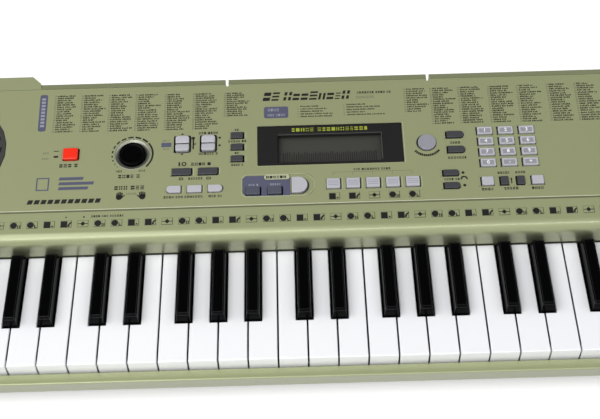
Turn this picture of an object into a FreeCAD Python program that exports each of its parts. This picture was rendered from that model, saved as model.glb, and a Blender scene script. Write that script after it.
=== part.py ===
import FreeCAD
import Part
import math
import os

Vector = FreeCAD.Vector
Rotation = FreeCAD.Rotation
Placement = FreeCAD.Placement

# An electronic keyboard with fifty-four hinged keys, in millimetres.
# +X is the player's right, +Y is the back and +Z is up. While the pieces are made,
# y is zero at the front of the case; they are centred front to back as they are saved.

# White keys
key_pitch = 21.0
key_gap = 1.2
white_key_count = 32
white_key_length = 90.1
white_key_side = 10.0
white_key_front = 18.0
white_key_skin = 1.8
key_top_skin = 2.2
key_edge = 0.5
key_top_height = 40.0
key_travel = 7.0

# Black keys
black_key_width = 11.0
black_key_top_width = 7.8
black_key_height = 8.8
black_key_setback = 31.8
black_key_rake = 1.6
black_key_face = 3.2
black_key_rear_gap = 1.4
black_key_rear_rake = 3.0
black_key_crown = 0.9
black_key_skin = 1.6
black_key_clearance = 0.8

# Key hinge
hinge_setback = 27.9
hinge_drop = 6.0
hinge_rod_radius = 1.5
hinge_clearance = 0.08
hinge_mouth = 2.5
hinge_crown = 3.6
stem_overlap = 6.0
tail_width = 7.0
tail_drop = 1.5
tail_end = 5.0

# Case
case_wall = 2.5
cheek_width = 24.0
cheek_front_rise = 14.0
cheek_knee_setback = 30.0
cheek_knee_rise = 28.0
rail_depth = 8.0
rail_drop = 8.0
rail_edge_radius = 1.5
rail_key_gap = 1.5
well_side_gap = 0.8
fascia_rise = 21.0
fascia_key_gap = 0.8
fascia_edge_radius = 9.0
panel_tilt = 7.2
strip_depth = 25.4
back_band_depth = 5.4
back_band_drop = 1.6
groove_width = 1.4
groove_depth = 0.8
pod_width = 137.0
pod_reach = 8.0
seam_height = 20.0
foot_height = 4.0
front_taper = 15.0
side_taper = 5.0
front_corner_radius = 18.0
back_corner_radius = 14.0
cheek_front_radius = 3.0
cheek_knee_radius = 40.0
deck_bend_radius = 60.0
back_edge_radius = 2.0
lip_thickness = 1.2
lip_height = 2.5
lip_root = 3.0
lip_gap = 0.25

# Control panel
panel_depth = 109.7
panel_thickness = 2.5
panel_end_margin = 10.0
panel_corner_radius = 6.0
panel_seam = 0.3
ledge_width = 4.0
ledge_thickness = 1.6
panel_post_radius = 2.4

# Buttons
button_rise = 1.3
button_clearance = 0.55
power_corner_radius = 1.8
button_edge = 0.4
button_flange = 0.7
button_flange_thickness = 1.0
button_flange_gap = 0.3
button_travel = 1.5
button_rest_gap = 0.3
button_mat_margin = 0.6
lesson_width = 10.5
lesson_depth = 5.3
lesson_gap = 5.1
demo_width = 15.2
demo_depth = 5.9
demo_gap = 4.4
effect_width = 10.9
effect_depth = 5.9
effect_gap = 4.5
record_width = 11.5
record_depth = 6.7
record_gap = 4.5
play_width = 12.6
play_depth = 13.5
drum_width = 10.4
drum_depth = 8.5
drum_gap = 4.3
start_radius = 7.2
tone_width = 13.9
tone_depth = 6.5
tone_gap = 6.8
tempo_width = 13.0
tempo_depth = 5.6
tempo_gap = 5.3
tempo_corner_radius = 1.6
digit_width = 12.0
digit_depth = 6.6
digit_side_gap = 3.8
digit_row_gap = 2.9
chord_end_width = 10.6
chord_width = 7.3
chord_depth = 7.8
chord_gap = 3.9
power_width = 12.1
power_depth = 11.0
power_rise = 2.6
power_travel = 2.5
power_stem = 3.0
rocker_width = 11.4
rocker_depth = 13.8
rocker_rise = 1.8
rocker_valley = 0.7
rocker_body = 4.5
rocker_clearance = 0.6
rocker_web = 3.0
rocker_web_drop = 2.5
rocker_pad = 5.0
rocker_pad_gap = 1.6
inset_width = 52.8
inset_depth = 18.2
inset_sink = 0.6
inset_corner_radius = 3.0

# Volume knob
knob_radius = 10.0
knob_rise = 0.5
knob_skirt = 2.2
knob_edge = 0.6
knob_dimple_radius = 8.2
knob_dimple_depth = 0.8
knob_clearance = 0.4
knob_shaft_radius = 3.0
knob_shaft_clearance = 0.08
dish_radius = 13.0
dish_depth = 1.5

# Display
display_width = 109.2
display_depth = 34.9
display_rise = 0.5
display_clearance = 0.3
window_width = 77.6
window_depth = 23.4
window_slope = 1.2
window_drop = 2.8
lcd_margin = 3.0
lcd_frame = 1.2
lcd_glass_drop = 2.5

# Main board
board_drop = 12.0
board_thickness = 1.6
pot_width = 16.0

# Speakers
grille_radius = 42.0
grille_rim = 3.0
grille_rise = 0.6
grille_clearance = 0.3
slat_width = 5.0
slat_gap = 4.2
slat_centre_width = 3.2
driver_flange_width = 4.0
driver_flange_thickness = 2.0
driver_throat_radius = 18.0
driver_basket_depth = 16.0
driver_magnet_radius = 21.0
driver_magnet_depth = 10.0
cone_depth = 11.0
cone_margin = 5.0
cone_hub_radius = 11.0

# Key frame and contacts
frame_leg = 3.0
frame_plate = 2.0
frame_front_setback = 14.0
frame_rib = 2.0
stop_setback = 17.0
stop_width = 3.0
stop_clearance = 0.3
bearing_thickness = 2.0
bearing_reach = 4.0
bearing_cap = 1.0
rear_rib_gap = 1.5
contact_setback = 62.0
contact_board_depth = 26.0
contact_board_thickness = 1.6
dome_height = 3.0
dome_width = 6.0
dome_top_width = 4.0
actuator_width = 3.0
actuator_depth = 4.0
contact_gap = 0.3

# Sockets at the back
jack_height = 32.0
jack_board_depth = 24.0
jack_board_thickness = 1.6
jack_board_width = 84.0
jack_body_width = 11.0
jack_body_depth = 15.0
jack_nose_radius = 4.2
jack_wall_gap = 0.4
phones_bore_radius = 1.8
phones_bore_depth = 14.0
power_bore_radius = 2.9
power_bore_depth = 10.0
power_pin_radius = 0.8
usb_width = 12.6
usb_height = 4.8
usb_shell = 0.6
usb_depth = 14.0
jack_post_radius = 3.0

# Screws and bosses
screw_radius = 1.5
screw_length = 14.0
screw_head_radius = 3.2
screw_head_height = 2.2
screw_clearance = 0.1
head_clearance = 0.4
boss_radius = 4.2
boss_inset = 14.0
rear_boss_inset = 9.5
boss_front_setback = 34.0
boss_rear_setback = 44.0
lower_boss_radius = 5.4
screw_seat = 8.0

# Feet
foot_radius = 8.0
foot_sink = 0.8
foot_edge = 1.0
foot_inset = 40.0
foot_front_setback = 36.0
foot_back_setback = 34.0

# Battery bay and door
bay_width = 106.0
bay_depth = 46.0
bay_height = 16.5
bay_wall = 2.0
door_margin = 3.0
door_thickness = 2.0
door_clearance = 0.4
door_grip_width = 18.0
door_grip_depth = 5.0
door_grip_sink = 1.0

# Slots for the wire music rest
rest_slot_width = 2.2
rest_slot_length = 7.3
rest_slot_depth = 12.0

# Flat sides of the pieces that are round on the real one
rod_sides = 8
screw_sides = 6
foot_sides = 10
grille_sides = 24
corner_steps = 5
driver_sides = 12
knob_sides = 24

# Cutting tools reach this far past what they cut
overrun = 1.0
smallest_edge = 1.0e-6

# Places on the control panel: across from its middle, as a share of its half
# length, and up from its front edge, as a share of its depth
power_shares = (-0.5580, 0.4430)
knob_shares = (-0.4254, 0.4312)
left_rocker_shares = (-0.3189, 0.5032)
right_rocker_shares = (-0.2629, 0.5032)
lesson_shares = (-0.2003, 0.4667)
demo_shares = (-0.2906, 0.2771)
effect_shares = (-0.2906, 0.1395)
inset_shares = (-0.1140, 0.1531)
record_shares = (-0.1434, 0.1130)
play_shares = (-0.0674, 0.1486)
drum_shares = (0.0874, 0.1513)
start_shares = (0.2071, 0.4603)
tone_shares = (0.2686, 0.4572)
tempo_shares = (0.2514, 0.1600)
digit_shares = (0.3789, 0.4111)
chord_shares = (0.3794, 0.1358)
display_shares = (0.0, 0.4699)
speaker_shares = (0.82, 0.5)
board_left_share = -0.612
board_right_share = 0.487
board_front_share = 0.03
board_back_share = 0.70
post_across_shares = (-0.594, -0.023, 0.469)
post_up_shares = (0.062, 0.668)

# Places under and behind the case, as shares of its half length
jack_board_share = -0.28
jack_place_shares = (-0.34, 0.0, 0.34)
rest_slot_shares = (-0.35, 0.35)
rear_boss_shares = (-0.76, 0.0, 0.76)
bay_share = 0.27
bay_back_share = 0.27

# Black keys of an octave: the white key each follows, its name, and how far it
# stands off the joint between the white keys, as a share of the key pitch
white_names = ("c", "d", "e", "f", "g", "a", "b")
black_names = {0: "c_sharp", 1: "d_sharp", 3: "f_sharp", 4: "g_sharp", 5: "a_sharp"}
black_offset_shares = {0: -0.09, 1: 0.09, 3: -0.175, 4: 0.0, 5: 0.175}
octave_size = len(white_names)
left_group_count = 7
single_white_count = 16

# Sizes worked out from those above
white_key_width = key_pitch - key_gap
well_half = white_key_count * key_pitch / 2 + well_side_gap
case_half = white_key_count * key_pitch / 2 + cheek_width
rail_top = key_top_height - rail_drop
key_front_y = rail_depth + rail_key_gap
fascia_y = key_front_y + white_key_length
panel_front_z = key_top_height + fascia_rise
tilt = math.radians(panel_tilt)
deck_length = strip_depth + panel_depth + back_band_depth
centre_back_y = fascia_y + deck_length * math.cos(tilt)
case_depth = centre_back_y + pod_reach
recess_half = case_half - pod_width
case_top = panel_front_z + (case_depth - fascia_y) * math.tan(tilt)
case_floor = foot_height + case_wall
hinge_y = fascia_y + hinge_setback
hinge_z = key_top_height - hinge_drop
key_low = key_top_height - white_key_side
stem_rear_y = fascia_y + stem_overlap
panel_half = case_half - panel_end_margin
deck_place = Placement(Vector(0, fascia_y, panel_front_z), Rotation(Vector(1, 0, 0), panel_tilt))
board_top = -board_drop
flange_top = -panel_thickness - button_flange_gap
flange_low = flange_top - button_flange_thickness
button_mat_top = flange_low - button_travel - button_rest_gap


# Outlines and basic solids

def box(x_low, x_high, y_low, y_high, z_low, z_high):
    return Part.makeBox(x_high - x_low, y_high - y_low, z_high - z_low, Vector(x_low, y_low, z_low))


def many_sided(radius, sides, middle, axis=Vector(0, 0, 1)):
    # a closed outline of equal flat sides about an axis, with its corners on the circle
    turn = Rotation(Vector(0, 0, 1), axis)
    points = []
    for number in range(sides + 1):
        angle = math.pi * (number * 2 + 1) / sides
        points.append(middle + turn.multVec(
            Vector(radius * math.cos(angle), radius * math.sin(angle), 0)))
    return Part.makePolygon(points)


def bar(radius, sides, start, reach):
    return prism(many_sided(radius, sides, start, reach), reach)


def post(radius, x, y, z_low, z_high):
    return bar(radius, screw_sides, Vector(x, y, z_low), Vector(0, 0, z_high - z_low))


def softened_wire(corners, sizes, steps=1):
    # each corner is taken off to its radius in equal straight steps, one of them being a bevel
    points = []
    for number, corner in enumerate(corners):
        radius = sizes[number]
        if radius == 0:
            points.append(corner)
            continue
        back = (corners[number - 1] - corner).normalize()
        ahead = (corners[(number + 1) % len(corners)] - corner).normalize()
        half_angle = back.getAngle(ahead) / 2
        middle = corner + (back + ahead).normalize() * (radius / math.sin(half_angle))
        first = corner + back * (radius / math.tan(half_angle)) - middle
        turn_axis = ahead.cross(back)
        whole_turn = 180 - math.degrees(half_angle) * 2
        for step in range(steps + 1):
            turn = Rotation(turn_axis, whole_turn * step / steps)
            points.append(middle + turn.multVec(first))
    distinct = [point for number, point in enumerate(points)
                if point.distanceToPoint(points[number - 1]) > smallest_edge]
    return Part.makePolygon(distinct + distinct[:1])


def flat_wire(points, z):
    return Part.makePolygon([Vector(x, y, z) for x, y in points + points[:1]])


def prism(wire, direction):
    return Part.Face(wire).extrude(direction)


def stack(wires):
    # one solid through outlines of as many corners, with straight walls between them
    rings = [[corner.Point for corner in wire.OrderedVertexes] for wire in wires]
    faces = [Part.Face(wires[0]), Part.Face(wires[-1])]
    for lower, upper in zip(rings, rings[1:]):
        for number in range(len(lower)):
            around = [lower[number - 1], lower[number], upper[number], upper[number - 1]]
            faces.append(Part.Face(Part.makePolygon(around + around[:1])))
    skin = Part.makeCompound(faces)
    skin.sewShape()
    solid = Part.makeSolid(skin.Shells[0])
    if solid.Volume < 0:
        solid.reverse()
    return solid


def joined(shapes):
    whole = shapes[0].fuse(shapes[1:])
    return whole.removeSplitter()


def rectangle(x, y, width, depth, z, corner=0.0, steps=1):
    points = [
        Vector(x - width / 2, y - depth / 2, z),
        Vector(x + width / 2, y - depth / 2, z),
        Vector(x + width / 2, y + depth / 2, z),
        Vector(x - width / 2, y + depth / 2, z),
    ]
    return softened_wire(points, [corner] * len(points), steps)


# Keys

def white_centre(number):
    return (number - (white_key_count - 1) / 2) * key_pitch


def black_centre(number):
    # the black key that stands between white keys number and number + 1
    offset = black_offset_shares[number % octave_size] * key_pitch
    return white_centre(number) + key_pitch / 2 + offset


def has_black(number):
    inside = 0 <= number < white_key_count - 1
    return inside and number % octave_size in black_names


def stem_edges(number):
    reach = black_key_width / 2 + black_key_clearance
    left = white_centre(number) - white_key_width / 2
    right = white_centre(number) + white_key_width / 2
    if has_black(number - 1):
        left = black_centre(number - 1) + reach
    if has_black(number):
        right = black_centre(number) - reach
    return left, right


def white_plan(number, inset, z):
    left = white_centre(number) - white_key_width / 2 + inset
    right = white_centre(number) + white_key_width / 2 - inset
    stem_left, stem_right = stem_edges(number)
    front = key_front_y + inset
    notch = key_front_y + black_key_setback - black_key_clearance - inset
    rear = stem_rear_y - inset
    points = [(left, front), (right, front)]
    if has_black(number):
        points += [(right, notch), (stem_right - inset, notch), (stem_right - inset, rear)]
    else:
        points += [(right, rear)]
    if has_black(number - 1):
        points += [(stem_left + inset, rear), (stem_left + inset, notch), (left, notch)]
    else:
        points += [(left, rear)]
    return flat_wire(points, z)


def key_tail(centre):
    # the bar behind the key, with the open hook that snaps over the hinge rod
    tail = box(
        centre - tail_width / 2, centre + tail_width / 2,
        stem_rear_y - white_key_skin, hinge_y + tail_end,
        key_low, key_top_height - tail_drop)
    side = centre - tail_width / 2 - overrun
    crown_z = hinge_z + hinge_rod_radius + hinge_clearance
    slot = Part.makePolygon([
        Vector(side, hinge_y - hinge_mouth / 2, key_low - smallest_edge),
        Vector(side, hinge_y + hinge_mouth / 2, key_low - smallest_edge),
        Vector(side, hinge_y + hinge_crown / 2, crown_z),
        Vector(side, hinge_y - hinge_crown / 2, crown_z),
        Vector(side, hinge_y - hinge_mouth / 2, key_low - smallest_edge),
    ])
    return tail.cut(prism(slot, Vector(tail_width + overrun * 2, 0, 0)))


def travel_at(y):
    # how far a key goes down at this distance from the front, when fully pressed
    return key_travel * (hinge_y - y) / (hinge_y - key_front_y)


def contact_y():
    return key_front_y + contact_setback


def contact_top():
    return case_floor + frame_leg + frame_plate + contact_board_thickness


def actuator(centre):
    # the finger under a key that presses its rubber dome
    low = contact_top() + dome_height + travel_at(contact_y()) + contact_gap
    return box(
        centre - actuator_width / 2, centre + actuator_width / 2,
        contact_y() - actuator_depth / 2, contact_y() + actuator_depth / 2,
        low, key_top_height - key_top_skin / 2)


def white_key(number):
    stem_left, stem_right = stem_edges(number)
    centre = (stem_left + stem_right) / 2
    body = stack([
        white_plan(number, 0, key_low),
        white_plan(number, 0, key_top_height - key_edge),
        white_plan(number, key_edge, key_top_height),
    ])
    hollow = box(
        stem_left + white_key_skin, stem_right - white_key_skin,
        key_front_y + white_key_skin, stem_rear_y - white_key_skin,
        key_low - overrun, key_top_height - key_top_skin)
    lip = box(
        white_centre(number) - white_key_width / 2, white_centre(number) + white_key_width / 2,
        key_front_y, key_front_y + white_key_skin,
        key_top_height - white_key_front, key_low)
    shell = body.cut(hollow)
    return joined([shell, lip, key_tail(centre), actuator(centre)])


def black_plan(centre, width, front, rear, z):
    return flat_wire([
        (centre - width / 2, front),
        (centre + width / 2, front),
        (centre + width / 2, rear),
        (centre - width / 2, rear),
    ], z)


def black_key(number):
    centre = black_centre(number)
    front = key_front_y + black_key_setback
    rear = fascia_y - black_key_rear_gap
    top = key_top_height + black_key_height
    top_front = front + black_key_rake
    top_rear = rear - black_key_rear_rake
    low = key_top_height - key_top_skin
    face_top = key_top_height + black_key_face
    narrowing = (black_key_width - black_key_top_width - black_key_crown) / (top - black_key_crown - low)
    face_width = black_key_width - (face_top - low) * narrowing
    cap = stack([
        black_plan(centre, black_key_width, front, rear, low),
        black_plan(centre, face_width, front, rear, face_top),
        black_plan(
            centre, black_key_top_width + black_key_crown,
            top_front - black_key_crown, top_rear, top - black_key_crown),
        black_plan(
            centre, black_key_top_width - black_key_crown,
            top_front + black_key_crown, top_rear - black_key_crown, top),
    ])
    base = box(
        centre - black_key_width / 2, centre + black_key_width / 2,
        front, stem_rear_y, key_low, key_top_height - key_top_skin)
    hollow = box(
        centre - black_key_width / 2 + black_key_skin, centre + black_key_width / 2 - black_key_skin,
        front + black_key_skin, stem_rear_y - black_key_skin,
        key_low - overrun, key_top_height - key_top_skin - black_key_skin)
    return joined([cap, base]).cut(hollow).fuse([key_tail(centre), actuator(centre)]).removeSplitter()


# Plan and side of the case

def plan_wire(inset, front_inset, z, steps):
    mitre = inset * math.tan(math.radians(45) / 2)
    side = case_half - inset
    back = case_depth - inset
    centre_back = centre_back_y - inset
    corners = [
        Vector(-side, front_inset, z),
        Vector(side, front_inset, z),
        Vector(side, back, z),
        Vector(recess_half + pod_reach + mitre, back, z),
        Vector(recess_half + mitre, centre_back, z),
        Vector(-recess_half - mitre, centre_back, z),
        Vector(-recess_half - pod_reach - mitre, back, z),
        Vector(-side, back, z),
    ]
    front_radius = front_corner_radius - inset
    back_radius = back_corner_radius - inset
    sizes = [front_radius, front_radius, back_radius, 0, 0, 0, 0, back_radius]
    return softened_wire(corners, sizes, steps)


def plan_prism(inset, z_low, z_high, steps=1):
    return prism(plan_wire(inset, inset, z_low, steps), Vector(0, 0, z_high - z_low))


def deck_height(y):
    return panel_front_z + (y - fascia_y) * math.tan(tilt)


def side_prism(inset, low, steps=1):
    front = inset
    back = case_depth - inset
    down = inset / math.cos(tilt)
    side = case_half - inset
    corners = [
        Vector(-side, front, low),
        Vector(-side, front, seam_height + cheek_front_rise - inset),
        Vector(-side, cheek_knee_setback, seam_height + cheek_knee_rise - inset),
        Vector(-side, fascia_y, panel_front_z - down),
        Vector(-side, back, deck_height(back) - down),
        Vector(-side, back, low),
    ]
    sizes = [0, cheek_front_radius, cheek_knee_radius, deck_bend_radius, back_edge_radius, 0]
    return prism(softened_wire(corners, sizes, steps), Vector(side * 2, 0, 0))


def on_deck(shape):
    shape.Placement = deck_place.multiply(shape.Placement)
    return shape


def panel_point(shares):
    return shares[0] * panel_half, strip_depth + shares[1] * panel_depth


# Upper case

def screw_places():
    side = case_half - boss_inset
    places = [
        (-side, boss_front_setback),
        (side, boss_front_setback),
        (-side, case_depth - boss_rear_setback),
        (side, case_depth - boss_rear_setback),
    ]
    for share in rear_boss_shares:
        places.append((share * recess_half, centre_back_y - rear_boss_inset))
    return places


def key_well():
    # the space over and around the keys, with the rounded edge of the wall behind them
    reach = fascia_edge_radius * 2
    corners = [
        Vector(-well_half, -overrun, rail_top - rail_edge_radius),
        Vector(-well_half, 0, rail_top - rail_edge_radius),
        Vector(-well_half, 0, rail_top),
        Vector(-well_half, rail_depth, rail_top),
        Vector(-well_half, rail_depth, 0),
        Vector(-well_half, fascia_y, 0),
        Vector(-well_half, fascia_y, panel_front_z),
        Vector(-well_half, fascia_y + reach, deck_height(fascia_y + reach)),
        Vector(-well_half, fascia_y + reach, case_top),
        Vector(-well_half, -overrun, case_top),
    ]
    sizes = [0, 0, rail_edge_radius, 0, 0, 0, fascia_edge_radius, 0, 0, 0]
    return prism(softened_wire(corners, sizes, corner_steps), Vector(well_half * 2, 0, 0))


def fascia_lining():
    # the wall behind the keys seen from inside, rounded along with the edge outside
    side = well_half + case_wall
    rear = fascia_y + case_wall
    reach = rear + fascia_edge_radius * 2
    down = case_wall / math.cos(tilt)
    corners = [
        Vector(-side, fascia_y, seam_height),
        Vector(-side, rear, seam_height),
        Vector(-side, rear, deck_height(rear) - down),
        Vector(-side, reach, deck_height(reach) - down),
        Vector(-side, reach, case_top),
        Vector(-side, fascia_y, case_top),
    ]
    sizes = [0, 0, fascia_edge_radius - case_wall, 0, 0, 0]
    return prism(softened_wire(corners, sizes, corner_steps), Vector(side * 2, 0, 0))


def panel_prism(grow, z_low, z_high, steps=1):
    outline = rectangle(
        0, strip_depth + panel_depth / 2,
        panel_half * 2 + grow * 2, panel_depth + grow * 2,
        z_low, panel_corner_radius + grow, steps)
    return prism(outline, Vector(0, 0, z_high - z_low))


def panel_ledge():
    low = -panel_thickness - ledge_thickness
    ring = panel_prism(case_wall / 2, low, -case_wall / 2)
    return on_deck(ring.cut(panel_prism(-ledge_width, low - overrun, overrun)))


def back_band():
    # the sloping edge behind the panel, between the pods
    face = Part.makePolygon([
        Vector(-recess_half, deck_length - back_band_depth, 0),
        Vector(-recess_half, deck_length + pod_reach, 0),
        Vector(-recess_half, deck_length + pod_reach, -back_band_drop),
        Vector(-recess_half, deck_length, -back_band_drop),
        Vector(-recess_half, deck_length - back_band_depth, 0),
    ])
    return on_deck(prism(face, Vector(recess_half * 2, 0, 0)))


def music_rest_slots():
    slots = []
    for share in rest_slot_shares:
        x = share * recess_half
        slots.append(on_deck(box(
            x - rest_slot_width / 2, x + rest_slot_width / 2,
            deck_length - rest_slot_length, deck_length + pod_reach,
            -rest_slot_depth, overrun)))
    return slots


def panel_groove():
    # the channel in the strip along the front edge of the panel
    return on_deck(box(-panel_half, panel_half, strip_depth - groove_width, strip_depth,
                       -groove_depth, overrun))


def jack_places():
    middle = jack_board_share * case_half
    return [middle + share * jack_board_width for share in jack_place_shares]


def upper_case():
    outside = plan_prism(0, seam_height, case_top + overrun, corner_steps)
    body = side_prism(0, seam_height, corner_steps).common(outside)
    low = seam_height - overrun
    hollow = side_prism(case_wall, low).common(plan_prism(case_wall, low, case_top))
    around_well = box(
        -well_half - case_wall, well_half + case_wall,
        rail_depth - case_wall, fascia_y + case_wall, low, case_top)
    over_rail = box(
        -well_half - case_wall, well_half + case_wall,
        -overrun, rail_depth, rail_top - case_wall, case_top)
    shell = body.cut(hollow.cut([around_well, over_rail, fascia_lining()]))
    bosses = [post(boss_radius, x, y, seam_height, case_top).common(body)
              for x, y in screw_places()]
    shell = shell.fuse(bosses + [panel_ledge().common(body)])
    tunnel = box(
        -well_half, well_half, fascia_y - overrun, fascia_y + case_wall + overrun,
        0, key_top_height + fascia_key_gap)
    seat = on_deck(panel_prism(0, -panel_thickness, overrun * 2, corner_steps))
    pilots = [post(screw_radius + screw_clearance, x, y,
                   seam_height - overrun, seam_height + screw_length)
              for x, y in screw_places()]
    phones, power, usb = jack_places()
    sockets = [bar(jack_nose_radius + jack_wall_gap, driver_sides,
                   Vector(x, centre_back_y - case_wall - overrun, jack_height),
                   Vector(0, case_wall + overrun * 2, 0))
               for x in (phones, power)]
    half_width = usb_width / 2 + usb_shell + jack_wall_gap
    half_height = usb_height / 2 + usb_shell + jack_wall_gap
    sockets.append(box(
        usb - half_width, usb + half_width,
        centre_back_y - case_wall - overrun, centre_back_y + overrun,
        jack_height - half_height, jack_height + half_height))
    cuts = [key_well(), tunnel, seat, panel_groove(), back_band()]
    cuts += pilots + sockets + music_rest_slots()
    return shell.cut(cuts).removeSplitter()


# Lower case

def bay_box():
    # low and high corners of the space for the batteries
    middle = bay_share * case_half
    back = centre_back_y - bay_back_share * (centre_back_y - fascia_y)
    return middle - bay_width / 2, middle + bay_width / 2, back - bay_depth, back


def foot_places():
    side = case_half - foot_inset
    return [(x, y)
            for x in (-side, 0, side)
            for y in (foot_front_setback, centre_back_y - foot_back_setback)]


def door_plan(grow, z):
    left, right, front, back = bay_box()
    return rectangle(
        (left + right) / 2, (front + back) / 2,
        right - left + door_margin * 2 + grow * 2, back - front + door_margin * 2 + grow * 2,
        z, door_margin)


def lower_case():
    outer = stack([
        plan_wire(side_taper, front_taper, foot_height, corner_steps),
        plan_wire(0, 0, seam_height, corner_steps),
    ])
    inner = stack([
        plan_wire(side_taper + case_wall, front_taper + case_wall, case_floor, 1),
        plan_wire(case_wall, case_wall, seam_height, 1),
    ])
    rim = plan_prism(case_wall, seam_height - smallest_edge, seam_height + overrun)
    tray = outer.cut([inner, rim])
    lip_inset = case_wall + lip_gap
    lip_low = seam_height - lip_root
    lip = plan_prism(lip_inset, lip_low, seam_height + lip_height)
    lip = lip.cut(plan_prism(lip_inset + lip_thickness, lip_low - overrun, case_top))
    left, right, front, back = bay_box()
    bay_top = case_floor + bay_height
    bay = box(left - bay_wall, right + bay_wall, front - bay_wall, back + bay_wall,
              foot_height, bay_top + bay_wall)
    bay_space = box(left, right, front, back, foot_height - overrun, bay_top)
    bosses = [post(lower_boss_radius, x, y, foot_height, seam_height)
              for x, y in screw_places()]
    jack_posts = [post(jack_post_radius, x, y, case_floor - overrun, jack_board_low())
                  for x, y in jack_post_places()]
    pads = [box(x_low, x_high, y_low, y_high, foot_height + overrun, case_floor + frame_leg)
            for x_low, x_high, y_low, y_high in frame_pads()]
    whole = tray.fuse([lip, bay] + bosses + jack_posts + pads)
    shanks = [post(screw_radius + screw_clearance, x, y, 0, seam_height + overrun)
              for x, y in screw_places()]
    heads = [post(screw_head_radius + head_clearance, x, y, 0, foot_height + screw_seat)
             for x, y in screw_places()]
    feet = [bar(foot_radius, foot_sides, Vector(x, y, 0), Vector(0, 0, foot_height + foot_sink))
            for x, y in foot_places()]
    door_space = prism(door_plan(door_clearance, 0), Vector(0, 0, foot_height + door_thickness))
    return whole.cut([bay_space, door_space] + shanks + heads + feet).removeSplitter()


def battery_door():
    left, right, front, back = bay_box()
    plate = prism(door_plan(0, foot_height), Vector(0, 0, door_thickness))
    middle = (left + right) / 2
    grip = box(
        middle - door_grip_width / 2, middle + door_grip_width / 2,
        back - door_grip_depth, back, foot_height - overrun, foot_height + door_grip_sink)
    return plate.cut(grip)


def rubber_feet():
    return Part.makeCompound([
        stack([
            many_sided(foot_radius - foot_edge, foot_sides, Vector(x, y, 0)),
            many_sided(foot_radius, foot_sides, Vector(x, y, foot_edge)),
            many_sided(foot_radius, foot_sides, Vector(x, y, foot_height + foot_sink)),
        ])
        for x, y in foot_places()])


def case_screws():
    screws = []
    for x, y in screw_places():
        seat = foot_height + screw_seat
        head = post(screw_head_radius, x, y, seat - screw_head_height, seat)
        shank = post(screw_radius, x, y, seat, seam_height + screw_length - screw_seat)
        screws.append(head.fuse(shank).removeSplitter())
    return Part.makeCompound(screws)


# Key frame and key contacts

def frame_top():
    return case_floor + frame_leg + frame_plate


def frame_rear():
    return hinge_y + tail_end + rear_rib_gap + frame_rib


def frame_front():
    return key_front_y + frame_front_setback


def frame_pads():
    # bars on the floor of the case that the key frame stands on
    left = -well_half + overrun
    right = well_half - overrun
    front = frame_front()
    rear = frame_rear()
    middle = (front + rear) / 2
    return [
        (left, right, front, front + frame_rib),
        (left, right, middle - frame_rib / 2, middle + frame_rib / 2),
        (left, right, rear - frame_rib, rear),
    ]


def bearing_places():
    # between neighbouring white keys that have no black key between them, and at both ends
    places = [-well_half + bearing_thickness, well_half - bearing_thickness]
    for number in range(white_key_count - 1):
        if not has_black(number):
            left = sum(stem_edges(number)) / 2
            right = sum(stem_edges(number + 1)) / 2
            places.append((left + right) / 2)
    return places


def key_frame():
    half = well_half - overrun
    low = case_floor + frame_leg
    top = frame_top()
    plate = box(-half, half, frame_front(), frame_rear(), low, top)
    stop_y = key_front_y + stop_setback
    stop_top = key_low - travel_at(stop_y) - stop_clearance
    stop = box(-half, half, stop_y, stop_y + stop_width, top, stop_top)
    rear_rib = box(-half, half, frame_rear() - frame_rib, frame_rear(), top, hinge_z)
    bearings = [box(x - bearing_thickness / 2, x + bearing_thickness / 2,
                    hinge_y - bearing_reach, frame_rear(),
                    top, hinge_z + hinge_rod_radius + bearing_cap)
                for x in bearing_places()]
    rod = bar(
        hinge_rod_radius, rod_sides, Vector(-well_half + bearing_thickness, hinge_y, hinge_z),
        Vector(well_half * 2 - bearing_thickness * 2, 0, 0))
    across_flats = hinge_rod_radius * math.cos(math.pi / rod_sides)
    cradle = box(
        -well_half, well_half, hinge_y - across_flats, hinge_y + across_flats,
        hinge_z - across_flats, hinge_z + hinge_rod_radius + bearing_cap + overrun)
    frame = joined([plate, stop, rear_rib] + bearings).cut(cradle)
    return Part.makeCompound([frame, rod])


def contact_strip():
    half = well_half - overrun
    y = contact_y()
    board = box(-half, half, y - contact_board_depth / 2, y + contact_board_depth / 2,
                frame_top(), contact_top())
    ridge = stack([
        rectangle(0, y, half * 2, dome_width, contact_top()),
        rectangle(0, y, half * 2, dome_top_width, contact_top() + dome_height),
    ])
    return Part.makeCompound([board, ridge])


# Control panel and what it carries

def spread(middle, widths, gap):
    # centres of pieces of these widths that stand side by side about the middle
    total = sum(widths) + gap * (len(widths) - 1)
    place = middle - total / 2
    centres = []
    for width in widths:
        centres.append(place + width / 2)
        place += width + gap
    return centres


def row_of(shares, widths, depth, gap):
    x, y = panel_point(shares)
    return [(place, y, width, depth) for place, width in zip(spread(x, widths, gap), widths)]


def column_of(shares, count, width, depth, gap):
    x, y = panel_point(shares)
    return [(x, place, width, depth) for place in spread(y, [depth] * count, gap)]


def grid_of(shares, columns, rows, width, depth, side_gap, row_gap):
    x, y = panel_point(shares)
    return [(across, up, width, depth)
            for up in spread(y, [depth] * rows, row_gap)
            for across in spread(x, [width] * columns, side_gap)]


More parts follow.
